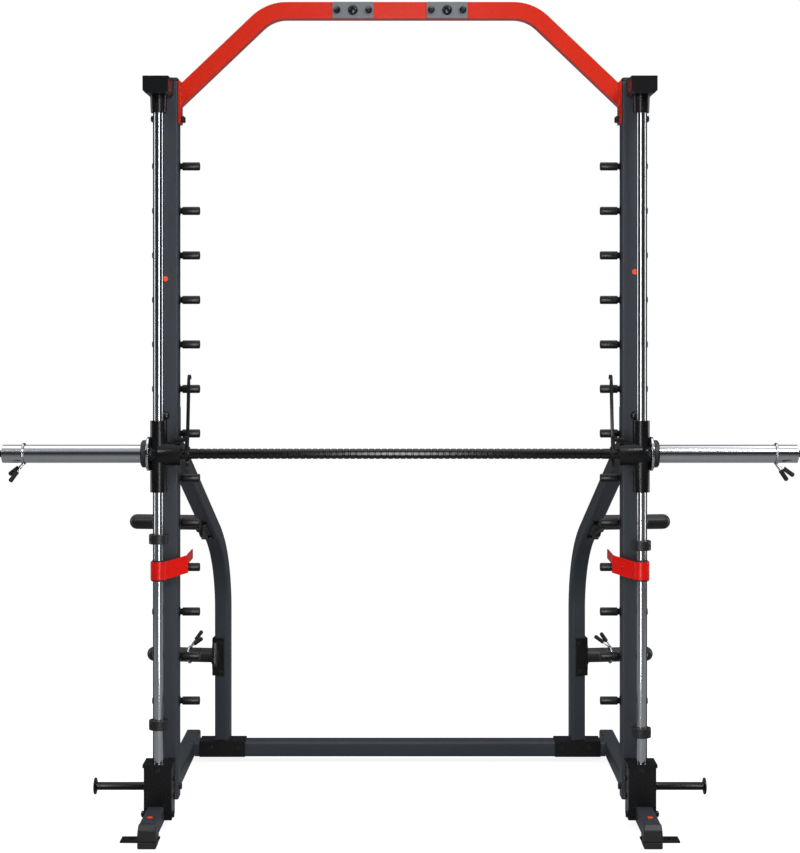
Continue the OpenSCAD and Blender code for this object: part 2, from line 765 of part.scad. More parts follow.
module hook_right() hook(RIGHT);

// The part of a hook's arc that stays open: all of it past the lip, round to the shank
module lip_cut(angle) {
    r = 60;
    polygon([[0, 0], [r * sin(angle), r * cos(angle)], [r, -r], [-r, -r], [-r, 0]]);
}

// A tube on the guide rod with a bearing hub on its inner side and a sleeve axle outside
module carriage(side) color("#17181a") on_side(side) difference() {
    union() {
        translate([rod_x, rod_y, carriage_mid_z - carriage_len / 2])
            cylinder(d = carriage_dia, h = carriage_len);
        translate([hub_inner_x, rod_y, bar_z]) x_cylinder(hub_dia, rod_x - hub_inner_x);
        translate([rod_x, rod_y, bar_z]) x_cylinder(axle_dia + 16, disc_x - 1 - rod_x);
        translate([rod_x, rod_y, bar_z]) x_cylinder(axle_dia, sleeve_end_x - washer_t - rod_x);
    }
    translate([rod_x, rod_y, carriage_mid_z - carriage_len / 2 - 1])
        cylinder(d = bush_dia, h = carriage_len + 2);
    translate([hub_inner_x - 1, rod_y, bar_z]) x_cylinder(bearing_dia, bearing_len + 3);
}
module carriage_left() carriage(LEFT);
module carriage_right() carriage(RIGHT);

// Plain bushes at both ends of each carriage
module linear_bushes() color("#8d9094") both_sides() for (end = [-1, 1])
    translate([rod_x, rod_y, carriage_mid_z + end * (carriage_len - bush_len - 4) / 2])
        difference() {
            cylinder(d = bush_dia, h = bush_len, center = true);
            cylinder(d = rod_dia + 2 * running, h = bush_len + 2, center = true);
        }

module bar_bearings() color("#9a9da1") both_sides()
    translate([hub_inner_x + 1, rod_y, bar_z]) difference() {
        x_cylinder(bearing_dia, bearing_len - 2);
        translate([-1, 0, 0]) x_cylinder(shaft_dia + 2 * running, bearing_len + 2);
    }

// ---------------------------------------------------------------- sleeves

// A plate sleeve with a disc at its inner end and a seat for the washer at its outer end
module sleeve(side) color("#c9cdd1") on_side(side) difference() {
    translate([disc_x, rod_y, bar_z]) {
        x_cylinder(disc_dia, disc_t - 3);
        translate([disc_t - 3, 0, 0]) rotate([0, 90, 0])
            cylinder(d1 = disc_dia, d2 = disc_dia - 12, h = 3);
        x_cylinder(sleeve_dia, sleeve_len);
    }
    translate([disc_x - 1, rod_y, bar_z]) x_cylinder(axle_dia + 2 * running, sleeve_len + 2);
    translate([sleeve_end_x - washer_t - 1, rod_y, bar_z]) x_cylinder(washer_dia + 2, 20);
}
module sleeve_left() sleeve(LEFT);
module sleeve_right() sleeve(RIGHT);

module sleeve_ring(side) color("#141517") on_side(side)
    translate([disc_x + disc_t, rod_y, bar_z]) rotate([0, 90, 0]) difference() {
        union() {
            cylinder(d = sleeve_ring_dia, h = sleeve_ring_t - 4);
            translate([0, 0, sleeve_ring_t - 4])
                cylinder(d1 = sleeve_ring_dia, d2 = sleeve_ring_dia - 10, h = 4);
        }
        translate([0, 0, -1]) cylinder(d = sleeve_dia, h = sleeve_ring_t + 2);
    }
module sleeve_ring_left() sleeve_ring(LEFT);
module sleeve_ring_right() sleeve_ring(RIGHT);

module sleeve_end_bolts() color("#17181a") both_sides()
    translate([sleeve_end_x - washer_t, rod_y, bar_z]) {
        x_cylinder(washer_dia, washer_t);
        translate([washer_t, 0, 0]) rotate([0, 90, 0]) hex(17, 8);
    }

// ---------------------------------------------------------------- spring clips

// A clip round the X axis: two turns of wire and two splayed arms, with a grip on each
arm_splay = [[24, -8, 34], [30, 8, 22]];
function arm_root(dia, n) = [0, sign(arm_splay[n].y) * 9, (dia / 2 + loose + wire_dia / 2) * 0.94];
function arm_end(dia, n) = arm_root(dia, n) + arm_splay[n];

module clip_wire(dia) {
    for (x = [-0.45, 0.45]) translate([x * wire_dia, 0, 0]) rotate([0, 90, 0])
        rotate_extrude() translate([dia / 2 + loose + wire_dia / 2, 0]) circle(d = wire_dia);
    for (n = [0, 1]) rod_between(arm_root(dia, n), arm_end(dia, n), wire_dia);
}

module clip_grips(dia) {
    for (n = [0, 1]) {
        root = arm_root(dia, n);
        along = (arm_end(dia, n) - root) / norm(arm_end(dia, n) - root);
        difference() {
            union() {
                rod_between(arm_end(dia, n) - 16 * along, arm_end(dia, n) + 15 * along, 13);
                rod_between(arm_end(dia, n), arm_end(dia, n) + 18 * along, 9);
            }
            rod_between(root, arm_end(dia, n) + 0.1 * along, wire_dia + 0.2);
        }
    }
}

// The bar clips hang with their arms down and outward
module at_bar_clip(side) on_side(side)
    translate([bar_clip_x, rod_y, bar_z]) rotate([180, 0, 0]) children();
module bar_clip_left() color("#b9bdc1") at_bar_clip(LEFT) clip_wire(sleeve_dia);
module bar_clip_right() color("#b9bdc1") at_bar_clip(RIGHT) clip_wire(sleeve_dia);
module bar_clip_grips_left() color("#141517") at_bar_clip(LEFT) clip_grips(sleeve_dia);
module bar_clip_grips_right() color("#141517") at_bar_clip(RIGHT) clip_grips(sleeve_dia);

// The spare clips are kept on the lower horns, with their arms up
module at_stored_clip(side) on_side(side) at_lower_horn()
    translate([0, -stored_clip_reach, 0]) rotate([0, 0, 90]) children();
module stored_clip_left() color("#b9bdc1") at_stored_clip(LEFT) clip_wire(horn_dia);
module stored_clip_right() color("#b9bdc1") at_stored_clip(RIGHT) clip_wire(horn_dia);
module stored_clip_grips_left() color("#141517") at_stored_clip(LEFT) clip_grips(horn_dia);
module stored_clip_grips_right() color("#141517") at_stored_clip(RIGHT) clip_grips(horn_dia);

// ---------------------------------------------------------------- safety catches

// A ring on the bush, an arm across the front of the upright, and a flap over a peg
module catch(side) color("#d81f17") on_side(side) {
    ring_y = -catch_dia / 2 + catch_t / 2;
    corner = [catch_x, catch_corner_y];
    tip = [catch_x, catch_tip_y];
    arm_root = [rod_x - 6, rod_y + ring_y + 1];
    difference() {
        intersection() {
            translate([0, 0, catch_z]) linear_extrude(catch_top - catch_z) {
                strip([rod_x - catch_dia / 2 + 3, rod_y], corner, catch_t);
                strip(corner, tip, catch_t);
            }
            translate([0, catch_tip_y + 10, 0]) rotate([90, 0, 0]) linear_extrude(400) polygon([
                [rod_x, catch_z], [rod_x - catch_dia / 2, catch_z],
                [catch_x, catch_z + 10], [catch_x - 10, catch_z + 10],
                [catch_x - 10, catch_top], [catch_x, catch_top],
                [rod_x - catch_dia / 2, catch_z + catch_h], [rod_x, catch_z + catch_h]]);
        }
        // the flap is notched to stand on its peg
        translate([catch_x - 20, upright_front_y + 3, 0])
            cube([40, 200, peg_z(catch_peg) + peg_dia / 2 + loose]);
        translate([rod_x, rod_y, 0]) cylinder(d = catch_dia - catch_t, h = catch_top + 1);
    }
    translate([rod_x, rod_y, catch_z]) difference() {
        cylinder(d = catch_dia, h = catch_h);
        translate([0, 0, -1]) cylinder(d = catch_bush_dia + 2 * running, h = catch_h + 2);
    }
    // rivet dome on the arm
    mid = ([rod_x - catch_dia / 2, rod_y] + corner) / 2;
    slope = corner - [rod_x - catch_dia / 2 + 3, rod_y];
    translate([mid.x, mid.y, catch_z + catch_h / 2 + 5]) rotate(atan2(slope.y, slope.x) + 180)
        rotate([90, 0, 0]) cylinder(d1 = 9, d2 = 6, h = catch_t / 2 + 2);
}
module catch_left() catch(LEFT);
module catch_right() catch(RIGHT);

module catch_bush(side) color("#141517") on_side(side)
    translate([rod_x, rod_y, catch_z - 4]) difference() {
        union() {
            cylinder(d = catch_dia - 2, h = 3.9);
            cylinder(d = catch_bush_dia, h = catch_h + 8);
        }
        translate([0, 0, -1]) cylinder(d = rod_dia + 2 * running, h = catch_h + 12);
    }
module catch_bush_left() catch_bush(LEFT);
module catch_bush_right() catch_bush(RIGHT);

base_rail_left();
base_rail_right();
tube_end_plugs();
rubber_feet();
floor_anchors();
upright_left();
upright_right();
rack_pegs_left();
rack_pegs_right();
peg_nuts();
foot_bracket_left();
foot_bracket_right();
foot_bracket_bolts();
guide_rod_left();
guide_rod_right();
top_arm_left();
top_arm_right();
rod_collars();
rear_beam();
beam_saddles();
beam_bolts();
brace_left();
brace_right();
brace_flanges();
brace_bolts();
upper_horns();
lower_horns();
horn_brackets();
horn_bolts();
pullup_bar();
pullup_flanges();
pullup_plates();
pullup_bolts();
band_pegs();
stop_rings();
marker_plugs();
bar_shaft();
hook_left();
hook_right();
carriage_left();
carriage_right();
linear_bushes();
bar_bearings();
sleeve_end_bolts();
sleeve_left();
sleeve_right();
sleeve_ring_left();
sleeve_ring_right();
bar_clip_left();
bar_clip_right();
bar_clip_grips_left();
bar_clip_grips_right();
stored_clip_left();
stored_clip_right();
stored_clip_grips_left();
stored_clip_grips_right();
catch_left();
catch_right();
catch_bush_left();
catch_bush_right();
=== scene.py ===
"""Smith machine: finishes, turned parts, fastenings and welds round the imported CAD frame.

Every length is in metres. X runs left to right, the front faces -Y, and +Z is up.
"""

import json
from math import atan2, cos, pi, radians, sin

import bmesh
import bpy
from mathutils import Matrix, Vector

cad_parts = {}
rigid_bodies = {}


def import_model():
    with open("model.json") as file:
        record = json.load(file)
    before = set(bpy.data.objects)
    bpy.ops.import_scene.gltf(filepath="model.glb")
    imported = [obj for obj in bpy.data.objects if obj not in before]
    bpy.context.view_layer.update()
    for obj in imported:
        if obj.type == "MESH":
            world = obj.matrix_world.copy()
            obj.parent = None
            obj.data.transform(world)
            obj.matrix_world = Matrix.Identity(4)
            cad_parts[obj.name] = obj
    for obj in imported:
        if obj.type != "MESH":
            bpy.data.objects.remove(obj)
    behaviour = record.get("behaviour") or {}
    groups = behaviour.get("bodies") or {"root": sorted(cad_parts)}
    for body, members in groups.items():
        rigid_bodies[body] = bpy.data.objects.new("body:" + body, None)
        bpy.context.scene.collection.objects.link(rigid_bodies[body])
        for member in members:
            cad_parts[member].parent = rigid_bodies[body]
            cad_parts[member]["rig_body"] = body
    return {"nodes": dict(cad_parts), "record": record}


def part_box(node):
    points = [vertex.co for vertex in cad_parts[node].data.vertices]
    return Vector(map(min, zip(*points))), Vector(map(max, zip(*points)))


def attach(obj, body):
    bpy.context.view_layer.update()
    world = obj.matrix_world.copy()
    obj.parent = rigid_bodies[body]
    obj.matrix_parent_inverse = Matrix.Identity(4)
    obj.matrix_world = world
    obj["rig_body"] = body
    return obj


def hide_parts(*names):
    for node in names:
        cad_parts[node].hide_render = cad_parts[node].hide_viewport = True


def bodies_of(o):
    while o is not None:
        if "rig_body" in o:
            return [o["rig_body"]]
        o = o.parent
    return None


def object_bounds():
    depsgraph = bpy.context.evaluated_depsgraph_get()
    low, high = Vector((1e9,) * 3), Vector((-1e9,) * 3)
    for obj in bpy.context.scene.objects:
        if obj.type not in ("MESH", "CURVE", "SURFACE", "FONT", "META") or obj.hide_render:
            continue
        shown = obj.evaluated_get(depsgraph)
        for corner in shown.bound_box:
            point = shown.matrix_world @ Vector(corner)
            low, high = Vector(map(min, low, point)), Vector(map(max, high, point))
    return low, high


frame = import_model()

bl_info = {
    "name": "Smith Machine",
    "version": (1, 0, 0),
    "blender": (4, 5, 0),
    "location": "View3D > Sidebar > Smith Machine",
    "description": "Builds the finished look of a guided-bar rack round its CAD frame",
    "category": "Object",
}

CAD_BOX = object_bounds()
MM = 0.001
LEFT, RIGHT = -1, 1
SHARP = radians(35)             # edges sharper than this are eased, and shade as edges
BOLT_RADIUS = 5 * MM            # M10
BOLT_FLATS = 16 * MM            # across the flats of an M10 head or nut
NUT_HEIGHT = 7 * MM
WIRE_GAP = 2.5 * MM             # from a clip's bore to the middle of its wire
X_AXIS, Z_AXIS = Vector((1, 0, 0)), Vector((0, 0, 1))


def linear(code):
    """An sRGB hex colour as linear RGBA."""
    channels = [int(code[i:i + 2], 16) / 255 for i in (1, 3, 5)]
    return (*[c / 12.92 if c <= 0.04045 else ((c + 0.055) / 1.055) ** 2.4 for c in channels], 1.0)


# ------------------------------------------------------------------ sizes and colours

def colour(name, description, code):
    return bpy.props.FloatVectorProperty(
        name=name, description=description, subtype="COLOR", size=4, min=0, max=1,
        default=linear(code))


def length(name, description, millimetres):
    return bpy.props.FloatProperty(
        name=name, description=description, subtype="DISTANCE", unit="LENGTH", min=0,
        default=millimetres * MM)


class SmithColours(bpy.types.PropertyGroup):
    charcoal: colour("Charcoal", "Powder coat of the uprights and the base", "#33383f")
    black: colour("Black", "Powder coat of the braces, brackets and carriages", "#0d0e10")
    orange_red: colour("Orange-red", "Powder coat of the pull-up bar", "#d0240a")
    red: colour("Red", "Powder coat of the safety catches", "#e01006")
    plate: colour("Plate grey", "Plates on the pull-up bar", "#70757a")
    chrome: colour("Chrome", "Guide rods and plate sleeves", "#c6cacf")
    marker: colour("Marker orange", "Round plugs on the uprights and rails", "#f04a18")


class SmithSizes(bpy.types.PropertyGroup):
    plate_edge: length("Plate edge", "Round on the edges of cut plate and sheet", 0.8)
    block_edge: length("Block edge", "Round on the edges of machined blocks", 1.6)
    tube_corner: length("Tube corner", "Round on the corners of the pull-up bar's tube", 4.0)
    moulded_edge: length("Moulded edge", "Round on the edges of rubber and plastic parts", 3.0)
    bead: length("Weld bead", "Radius of a weld bead", 2.4)
    ripple: length("Weld ripple", "Spacing of the ripples along a weld bead", 3.0)
    knurl_band: length("Knurl band", "Spacing of the knurled bands on the bar", 17.0)


def colours():
    return bpy.context.scene.smith_colours


def sizes():
    return bpy.context.scene.smith_sizes


# ------------------------------------------------------------------ what the frame says

def slot_of(node):
    return next(p["material_slot"] for p in frame["record"]["subparts"] if p["node"] == node)


def body_of(node):
    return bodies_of(frame["nodes"][node])[0]


def middle(box):
    return (box[0] + box[1]) / 2


def welded(node):
    """A CAD node's mesh as a bmesh, with its doubled points joined."""
    bm = bmesh.new()
    bm.from_mesh(frame["nodes"][node].data)
    bmesh.ops.remove_doubles(bm, verts=bm.verts, dist=0.01 * MM)
    return bm


def solids(node):
    """The box of each separate solid in a CAD node, from left to right and then upwards."""
    bm = welded(node)
    left = set(bm.verts)
    boxes = []
    while left:
        todo = [left.pop()]
        part = list(todo)
        while todo:
            for edge in todo.pop().link_edges:
                for vert in edge.verts:
                    if vert in left:
                        left.remove(vert)
                        todo.append(vert)
                        part.append(vert)
        low = Vector([min(v.co[i] for v in part) for i in range(3)])
        high = Vector([max(v.co[i] for v in part) for i in range(3)])
        boxes.append((low, high))
    bm.free()
    return sorted(boxes, key=lambda b: (round(b[0].x, 3), round(b[0].z, 3), round(b[0].y, 3)))


# ------------------------------------------------------------------ shapes

def at(origin, axis):
    """A place at origin with its +Z along axis."""
    return Matrix.Translation(origin) @ Vector(axis).to_track_quat("Z", "Y").to_matrix().to_4x4()


def lathe(bm, profile, place, sides=48, flats=0.0):
    """Turns (radius, height) points round +Z of place. flats cuts the points to a hexagon, and
    a point's own third number does so for that point alone."""
    rings = []
    for radius, height, *own in profile:
        across = own[0] if own else flats
        if radius == 0:
            rings.append([bm.verts.new(place @ Vector((0, 0, height)))])
            continue
        ring = []
        for i in range(sides):
            angle = 2 * pi * i / sides
            reach = radius
            if across:
                reach = min(radius, across / 2 / cos(angle % (pi / 3) - pi / 6))
            point = Vector((reach * cos(angle), reach * sin(angle), height))
            ring.append(bm.verts.new(place @ point))
        rings.append(ring)
    for low, high in zip(rings, rings[1:]):
        for i in range(sides):
            j = (i + 1) % sides
            corners = (low[i % len(low)], low[j % len(low)],
                       high[j % len(high)], high[i % len(high)])
            bm.faces.new(list(dict.fromkeys(corners)))


def turned(radius, start, end, chamfer):
    """The profile of a solid round bar with chamfered ends."""
    return [(0, start), (radius - chamfer, start), (radius, start + chamfer),
            (radius, end - chamfer), (radius - chamfer, end), (0, end)]


def hexagon(bm, place, flats, start, end):
    """A hexagonal head or nut whose corners are chamfered on its far side."""
    corner = flats / 2 / cos(pi / 6)
    lathe(bm, [(0, start), (corner, start), (corner, end - 0.12 * flats),
               (0.97 * corner, end - 0.05 * flats), (0.47 * flats, end), (0, end)],
          place, flats=flats)


def thread(bm, place, radius, start, end, pitch=1.5 * MM):
    """The threaded end of a bolt, as plain rings, with a chamfered point."""
    count = max(1, int((end - start) / pitch))
    profile = [(0, start)]
    for i in range(count):
        profile += [(radius, start + i * pitch), (0.88 * radius, start + (i + 0.5) * pitch)]
    profile += [(0.8 * radius, end), (0, end)]
    lathe(bm, profile, place, sides=32)


def socket_head(bm, place, radius, height):
    """A round bolt head with a hexagonal socket."""
    flats = 0.85 * radius
    deep = 0.55 * height
    lathe(bm, [(0, 0), (radius, 0), (radius, height - 1.2 * MM), (radius - 1.2 * MM, height),
               (0.64 * radius, height), (0.6 * radius, height - 0.4 * MM, flats),
               (0.6 * radius, height - deep, flats), (0, height - deep)], place)


def sweep(bm, points, radius, sides=12):
    """A round wire through points. radius may be a number, or one for each point."""
    radii = radius if isinstance(radius, (list, tuple)) else [radius] * len(points)
    points = [Vector(p) for p in points]
    along = [(points[min(i + 1, len(points) - 1)] - points[max(i - 1, 0)]).normalized()
             for i in range(len(points))]
    side = along[0].orthogonal().normalized()
    rings = []
    for point, way, thick in zip(points, along, radii):
        side = (side - way * side.dot(way)).normalized()
        up = way.cross(side)
        rings.append([bm.verts.new(point + thick * (side * cos(2 * pi * i / sides)
                                                    + up * sin(2 * pi * i / sides)))
                      for i in range(sides)])
    for low, high in zip(rings, rings[1:]):
        for i in range(sides):
            j = (i + 1) % sides
            bm.faces.new((low[i], low[j], high[j], high[i]))
    bm.faces.new(rings[0][::-1])
    bm.faces.new(rings[-1])


def weld_bead(bm, start, end):
    """A rippled bead from start to end."""
    start, end = Vector(start), Vector(end)
    count = max(4, int((end - start).length / sizes().ripple) * 4)
    points = [start.lerp(end, i / count) for i in range(count + 1)]
    radii = [sizes().bead * (1 + 0.14 * cos(i * pi / 2)) for i in range(count + 1)]
    radii[0] = radii[-1] = 0.5 * sizes().bead
    sweep(bm, points, radii, sides=10)


def bead_round(bm, low, high, z):
    """Beads along the four sides of a level rectangle."""
    corners = [(low.x, low.y, z), (high.x, low.y, z), (high.x, high.y, z), (low.x, high.y, z)]
    for start, end in zip(corners, corners[1:] + corners[:1]):
        weld_bead(bm, start, end)


def piece(bm, name, node, edge=0.0, slot=None, stands_for=True):
    """Makes an object of bm that rides with a CAD node and, unless told not to, stands for it."""
    bmesh.ops.recalc_face_normals(bm, faces=bm.faces)
    mesh = bpy.data.meshes.new(name)
    bm.to_mesh(mesh)
    bm.free()
    mesh.polygons.foreach_set("use_smooth", [True] * len(mesh.polygons))
    mesh.set_sharp_from_angle(angle=SHARP)
    obj = bpy.data.objects.new(name, mesh)
    bpy.context.collection.objects.link(obj)
    if edge:
        bevel = obj.modifiers.new("edges", "BEVEL")
        bevel.width = edge
        bevel.segments = 2
        bevel.limit_method = "ANGLE"
        bevel.angle_limit = SHARP
        bevel.harden_normals = True
    slot = slot or slot_of(node)
    mesh.materials.append(finish(slot))
    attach(obj, body_of(node))
    if stands_for:
        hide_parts(node)
    return obj


def eased(node, edge):
    """A CAD node with its edges rounded, as paint and grinding leave them."""
    bm = welded(node)
    bmesh.ops.dissolve_limit(bm, angle_limit=radians(0.5), verts=bm.verts, edges=bm.edges)
    return piece(bm, node + "_eased", node, edge)


# ------------------------------------------------------------------ materials

def add(tree, kind, sockets=None, **settings):
    """Adds a node. sockets maps an input to its value, or to the output that feeds it."""
    node = tree.nodes.new(kind)
    for name, value in settings.items():
        setattr(node, name, value)
    for name, value in (sockets or {}).items():
        if isinstance(value, bpy.types.NodeSocket):
            tree.links.new(value, node.inputs[name])
        else:
            node.inputs[name].default_value = value
    return node


def per_metre(millimetres):
    """A texture scale whose features are this far apart."""
    return 1 / (millimetres * MM)


def material(name):
    """An empty node material. Returns it with its tree and its object coordinates."""
    made = bpy.data.materials.new(name)
    made.use_nodes = True
    made.node_tree.nodes.clear()
    where = add(made.node_tree, "ShaderNodeTexCoord").outputs["Object"]
    return made, made.node_tree, where


def surface(tree, **sockets):
    """Ends a material with a Principled surface."""
    shader = add(tree, "ShaderNodeBsdfPrincipled",
                 {name.replace("_", " "): value for name, value in sockets.items()})
    add(tree, "ShaderNodeOutputMaterial", {"Surface": shader.outputs["BSDF"]})


def powder_coat(name, paint, rough, coat=0.0):
    """Baked polyester powder: a fine orange peel that breaks up highlights, with faint clouding."""
    made, tree, where = material(name)
    cloud = add(tree, "ShaderNodeTexNoise",
                {"Vector": where, "Scale": per_metre(90), "Detail": 3.0, "Roughness": 0.6})
    dark = tuple(0.86 * c for c in paint[:3]) + (1,)
    tone = add(tree, "ShaderNodeMix", {"Factor": cloud.outputs["Fac"], 6: dark, 7: tuple(paint)},
               data_type="RGBA")
    peel = add(tree, "ShaderNodeTexNoise",
               {"Vector": where, "Scale": per_metre(2.2), "Detail": 2.0, "Roughness": 0.45})
    grain = add(tree, "ShaderNodeTexVoronoi", {"Vector": where, "Scale": per_metre(1.1)})
    relief = add(tree, "ShaderNodeMath", {0: grain.outputs["Distance"], 1: peel.outputs["Fac"]},
                 operation="ADD")
    bump = add(tree, "ShaderNodeBump",
               {"Height": relief.outputs[0], "Strength": 0.14, "Distance": 0.06 * MM})
    uneven = add(tree, "ShaderNodeMapRange",
                 {"Value": peel.outputs["Fac"], "To Min": rough - 0.05, "To Max": rough + 0.07})
    surface(tree, Base_Color=tone.outputs[2], Roughness=uneven.outputs[0], IOR=1.38,
            Coat_Weight=coat, Coat_Roughness=0.12, Normal=bump.outputs[0])
    return made


def charcoal_powder_coat():
    return powder_coat("charcoal_polyester_powder_coat", colours().charcoal, 0.42)


def black_powder_coat():
    return powder_coat("black_polyester_powder_coat", colours().black, 0.27)


def orange_red_powder_coat():
    return powder_coat("orange_red_gloss_powder_coat", colours().orange_red, 0.28, coat=0.15)


def red_powder_coat():
    return powder_coat("red_gloss_powder_coat", colours().red, 0.28)


def grey_plate():
    """Satin grey powder on laser-cut sheet: flatter than the tube's coat, with the same peel."""
    return powder_coat("grey_satin_powder_coat", colours().plate, 0.5)


def hard_chrome():
    """Hard chrome on ground steel: a mirror that is only just softened by the grinding marks."""
    made, tree, where = material("hard_chrome_on_ground_steel")
    marks = add(tree, "ShaderNodeTexNoise",
                {"Vector": where, "Scale": per_metre(1.5), "Detail": 4.0, "Roughness": 0.7})
    haze = add(tree, "ShaderNodeTexNoise", {"Vector": where, "Scale": per_metre(45), "Detail": 2.0})
    rough = add(tree, "ShaderNodeMapRange",
                {"Value": haze.outputs["Fac"], "To Min": 0.09, "To Max": 0.15})
    bump = add(tree, "ShaderNodeBump",
               {"Height": marks.outputs["Fac"], "Strength": 0.01, "Distance": 0.01 * MM})
    surface(tree, Base_Color=tuple(colours().chrome), Metallic=1.0, Roughness=rough.outputs[0],
            Normal=bump.outputs[0])
    return made


def zinc_plate():
    """Bright zinc on bolts: a pale metal with a cloudy, slightly blue passivation."""
    made, tree, where = material("bright_zinc_plate")
    cloud = add(tree, "ShaderNodeTexNoise", {"Vector": where, "Scale": per_metre(6), "Detail": 3.0})
    tone = add(tree, "ShaderNodeMix", {"Factor": cloud.outputs["Fac"], 6: linear("#9aa0a8"),
                                       7: linear("#c4c9cf")}, data_type="RGBA")
    rough = add(tree, "ShaderNodeMapRange",
                {"Value": cloud.outputs["Fac"], "To Min": 0.25, "To Max": 0.42})
    surface(tree, Base_Color=tone.outputs[2], Metallic=1.0, Roughness=rough.outputs[0])
    return made


def black_oxide_steel():
    """Black oxide on turned or forged steel: oily black metal, with tool marks in the gloss."""
    made, tree, where = material("black_oxide_steel")
    marks = add(tree, "ShaderNodeTexNoise",
                {"Vector": where, "Scale": per_metre(1.2), "Detail": 4.0, "Roughness": 0.65})
    tone = add(tree, "ShaderNodeMix", {"Factor": marks.outputs["Fac"], 6: linear("#0c0c0e"),
                                       7: linear("#1a1a1d")}, data_type="RGBA")
    rough = add(tree, "ShaderNodeMapRange",
                {"Value": marks.outputs["Fac"], "To Min": 0.14, "To Max": 0.3})
    bump = add(tree, "ShaderNodeBump",
               {"Height": marks.outputs["Fac"], "Strength": 0.15, "Distance": 0.03 * MM})
    surface(tree, Base_Color=tone.outputs[2], Roughness=rough.outputs[0], IOR=1.45,
            Normal=bump.outputs[0])
    return made


def knurled_black_steel():
    """Black oxide with a diamond knurl. Its 1.6 mm pitch is drawn at 2.4 mm, so that it shows."""
    made, tree, where = material("knurled_black_oxide_steel")
    centre = middle(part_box("bar_shaft"))
    radius = (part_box("bar_shaft")[1].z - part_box("bar_shaft")[0].z) / 2
    local = add(tree, "ShaderNodeVectorMath", {0: where, 1: centre}, operation="SUBTRACT")
    xyz = add(tree, "ShaderNodeSeparateXYZ", {"Vector": local.outputs["Vector"]})
    turn = add(tree, "ShaderNodeMath", {0: xyz.outputs["Y"], 1: xyz.outputs["Z"]},
               operation="ARCTAN2")
    arc = add(tree, "ShaderNodeMath", {0: turn.outputs[0], 1: radius}, operation="MULTIPLY")
    ridges = []
    for operation in ("ADD", "SUBTRACT"):
        slant = add(tree, "ShaderNodeMath", {0: xyz.outputs["X"], 1: arc.outputs[0]},
                    operation=operation)
        ridge = add(tree, "ShaderNodeMath", {0: slant.outputs[0], 1: 2.4 * MM},
                    operation="PINGPONG")
        ridges.append(ridge.outputs[0])
    diamond = add(tree, "ShaderNodeMath", {0: ridges[0], 1: ridges[1]}, operation="MINIMUM")
    bump = add(tree, "ShaderNodeBump",
               {"Height": diamond.outputs[0], "Strength": 0.06, "Distance": 0.3})
    surface(tree, Base_Color=linear("#08080a"), Roughness=0.16, IOR=1.5,
            Normal=bump.outputs[0])
    return made


def spring_steel():
    """Bright drawn spring wire: pale metal with fine die lines."""
    made, tree, where = material("bright_drawn_spring_steel")
    lines = add(tree, "ShaderNodeTexNoise",
                {"Vector": where, "Scale": per_metre(0.8), "Detail": 3.0, "Roughness": 0.6})
    rough = add(tree, "ShaderNodeMapRange",
                {"Value": lines.outputs["Fac"], "To Min": 0.16, "To Max": 0.32})
    surface(tree, Base_Color=linear("#c9cdd2"), Metallic=1.0, Roughness=rough.outputs[0])
    return made


def moulded(name, dark, light, rough, grain, depth):
    """A dull moulded skin with a fine pitted grain."""
    made, tree, where = material(name)
    pits = add(tree, "ShaderNodeTexNoise",
               {"Vector": where, "Scale": per_metre(grain), "Detail": 3.0, "Roughness": 0.6})
    tone = add(tree, "ShaderNodeMix", {"Factor": pits.outputs["Fac"], 6: linear(dark),
                                       7: linear(light)}, data_type="RGBA")
    bump = add(tree, "ShaderNodeBump",
               {"Height": pits.outputs["Fac"], "Strength": 0.4, "Distance": depth * MM})
    surface(tree, Base_Color=tone.outputs[2], Roughness=rough, IOR=1.5, Normal=bump.outputs[0])
    return made


def black_rubber():
    """Moulded rubber: nearly black and matt, so that only its round edges catch light."""
    return moulded("moulded_black_rubber", "#0f0f10", "#1a1a1b", 0.72, 1.6, 0.08)


def black_plastic():
    """Injection-moulded polyethylene with a spark-eroded grain: a soft, wide highlight."""
    return moulded("moulded_black_polyethylene", "#121214", "#1c1d1f", 0.45, 1.0, 0.04)


def orange_plastic():
    """Moulded orange plug: saturated, with a soft sheen."""
    made, tree, where = material("moulded_orange_polyethylene")
    grain = add(tree, "ShaderNodeTexNoise",
                {"Vector": where, "Scale": per_metre(1.0), "Detail": 2.0})
    rough = add(tree, "ShaderNodeMapRange",
                {"Value": grain.outputs["Fac"], "To Min": 0.32, "To Max": 0.45})
    surface(tree, Base_Color=tuple(colours().marker), Roughness=rough.outputs[0], IOR=1.5)
    return made


def bearing_bronze():
    """Sintered bronze: a warm, porous metal."""
    made, tree, where = material("sintered_bronze")
    pores = add(tree, "ShaderNodeTexNoise",
                {"Vector": where, "Scale": per_metre(0.9), "Detail": 4.0})
    tone = add(tree, "ShaderNodeMix", {"Factor": pores.outputs["Fac"], 6: linear("#6d5230"),
                                       7: linear("#a8834f")}, data_type="RGBA")
    surface(tree, Base_Color=tone.outputs[2], Metallic=1.0, Roughness=0.42)
    return made


FINISHES = {f.__name__: f for f in (
    charcoal_powder_coat, black_powder_coat, orange_red_powder_coat, red_powder_coat, grey_plate,
    hard_chrome, zinc_plate, black_oxide_steel, knurled_black_steel, spring_steel, black_rubber,
    black_plastic, orange_plastic, bearing_bronze)}
made_finishes = {}


def finish(slot):
    """The material of a slot, made when it is first asked for."""
    if slot not in made_finishes:
        made_finishes[slot] = FINISHES[slot]()
    return made_finishes[slot]


# ------------------------------------------------------------------ operators

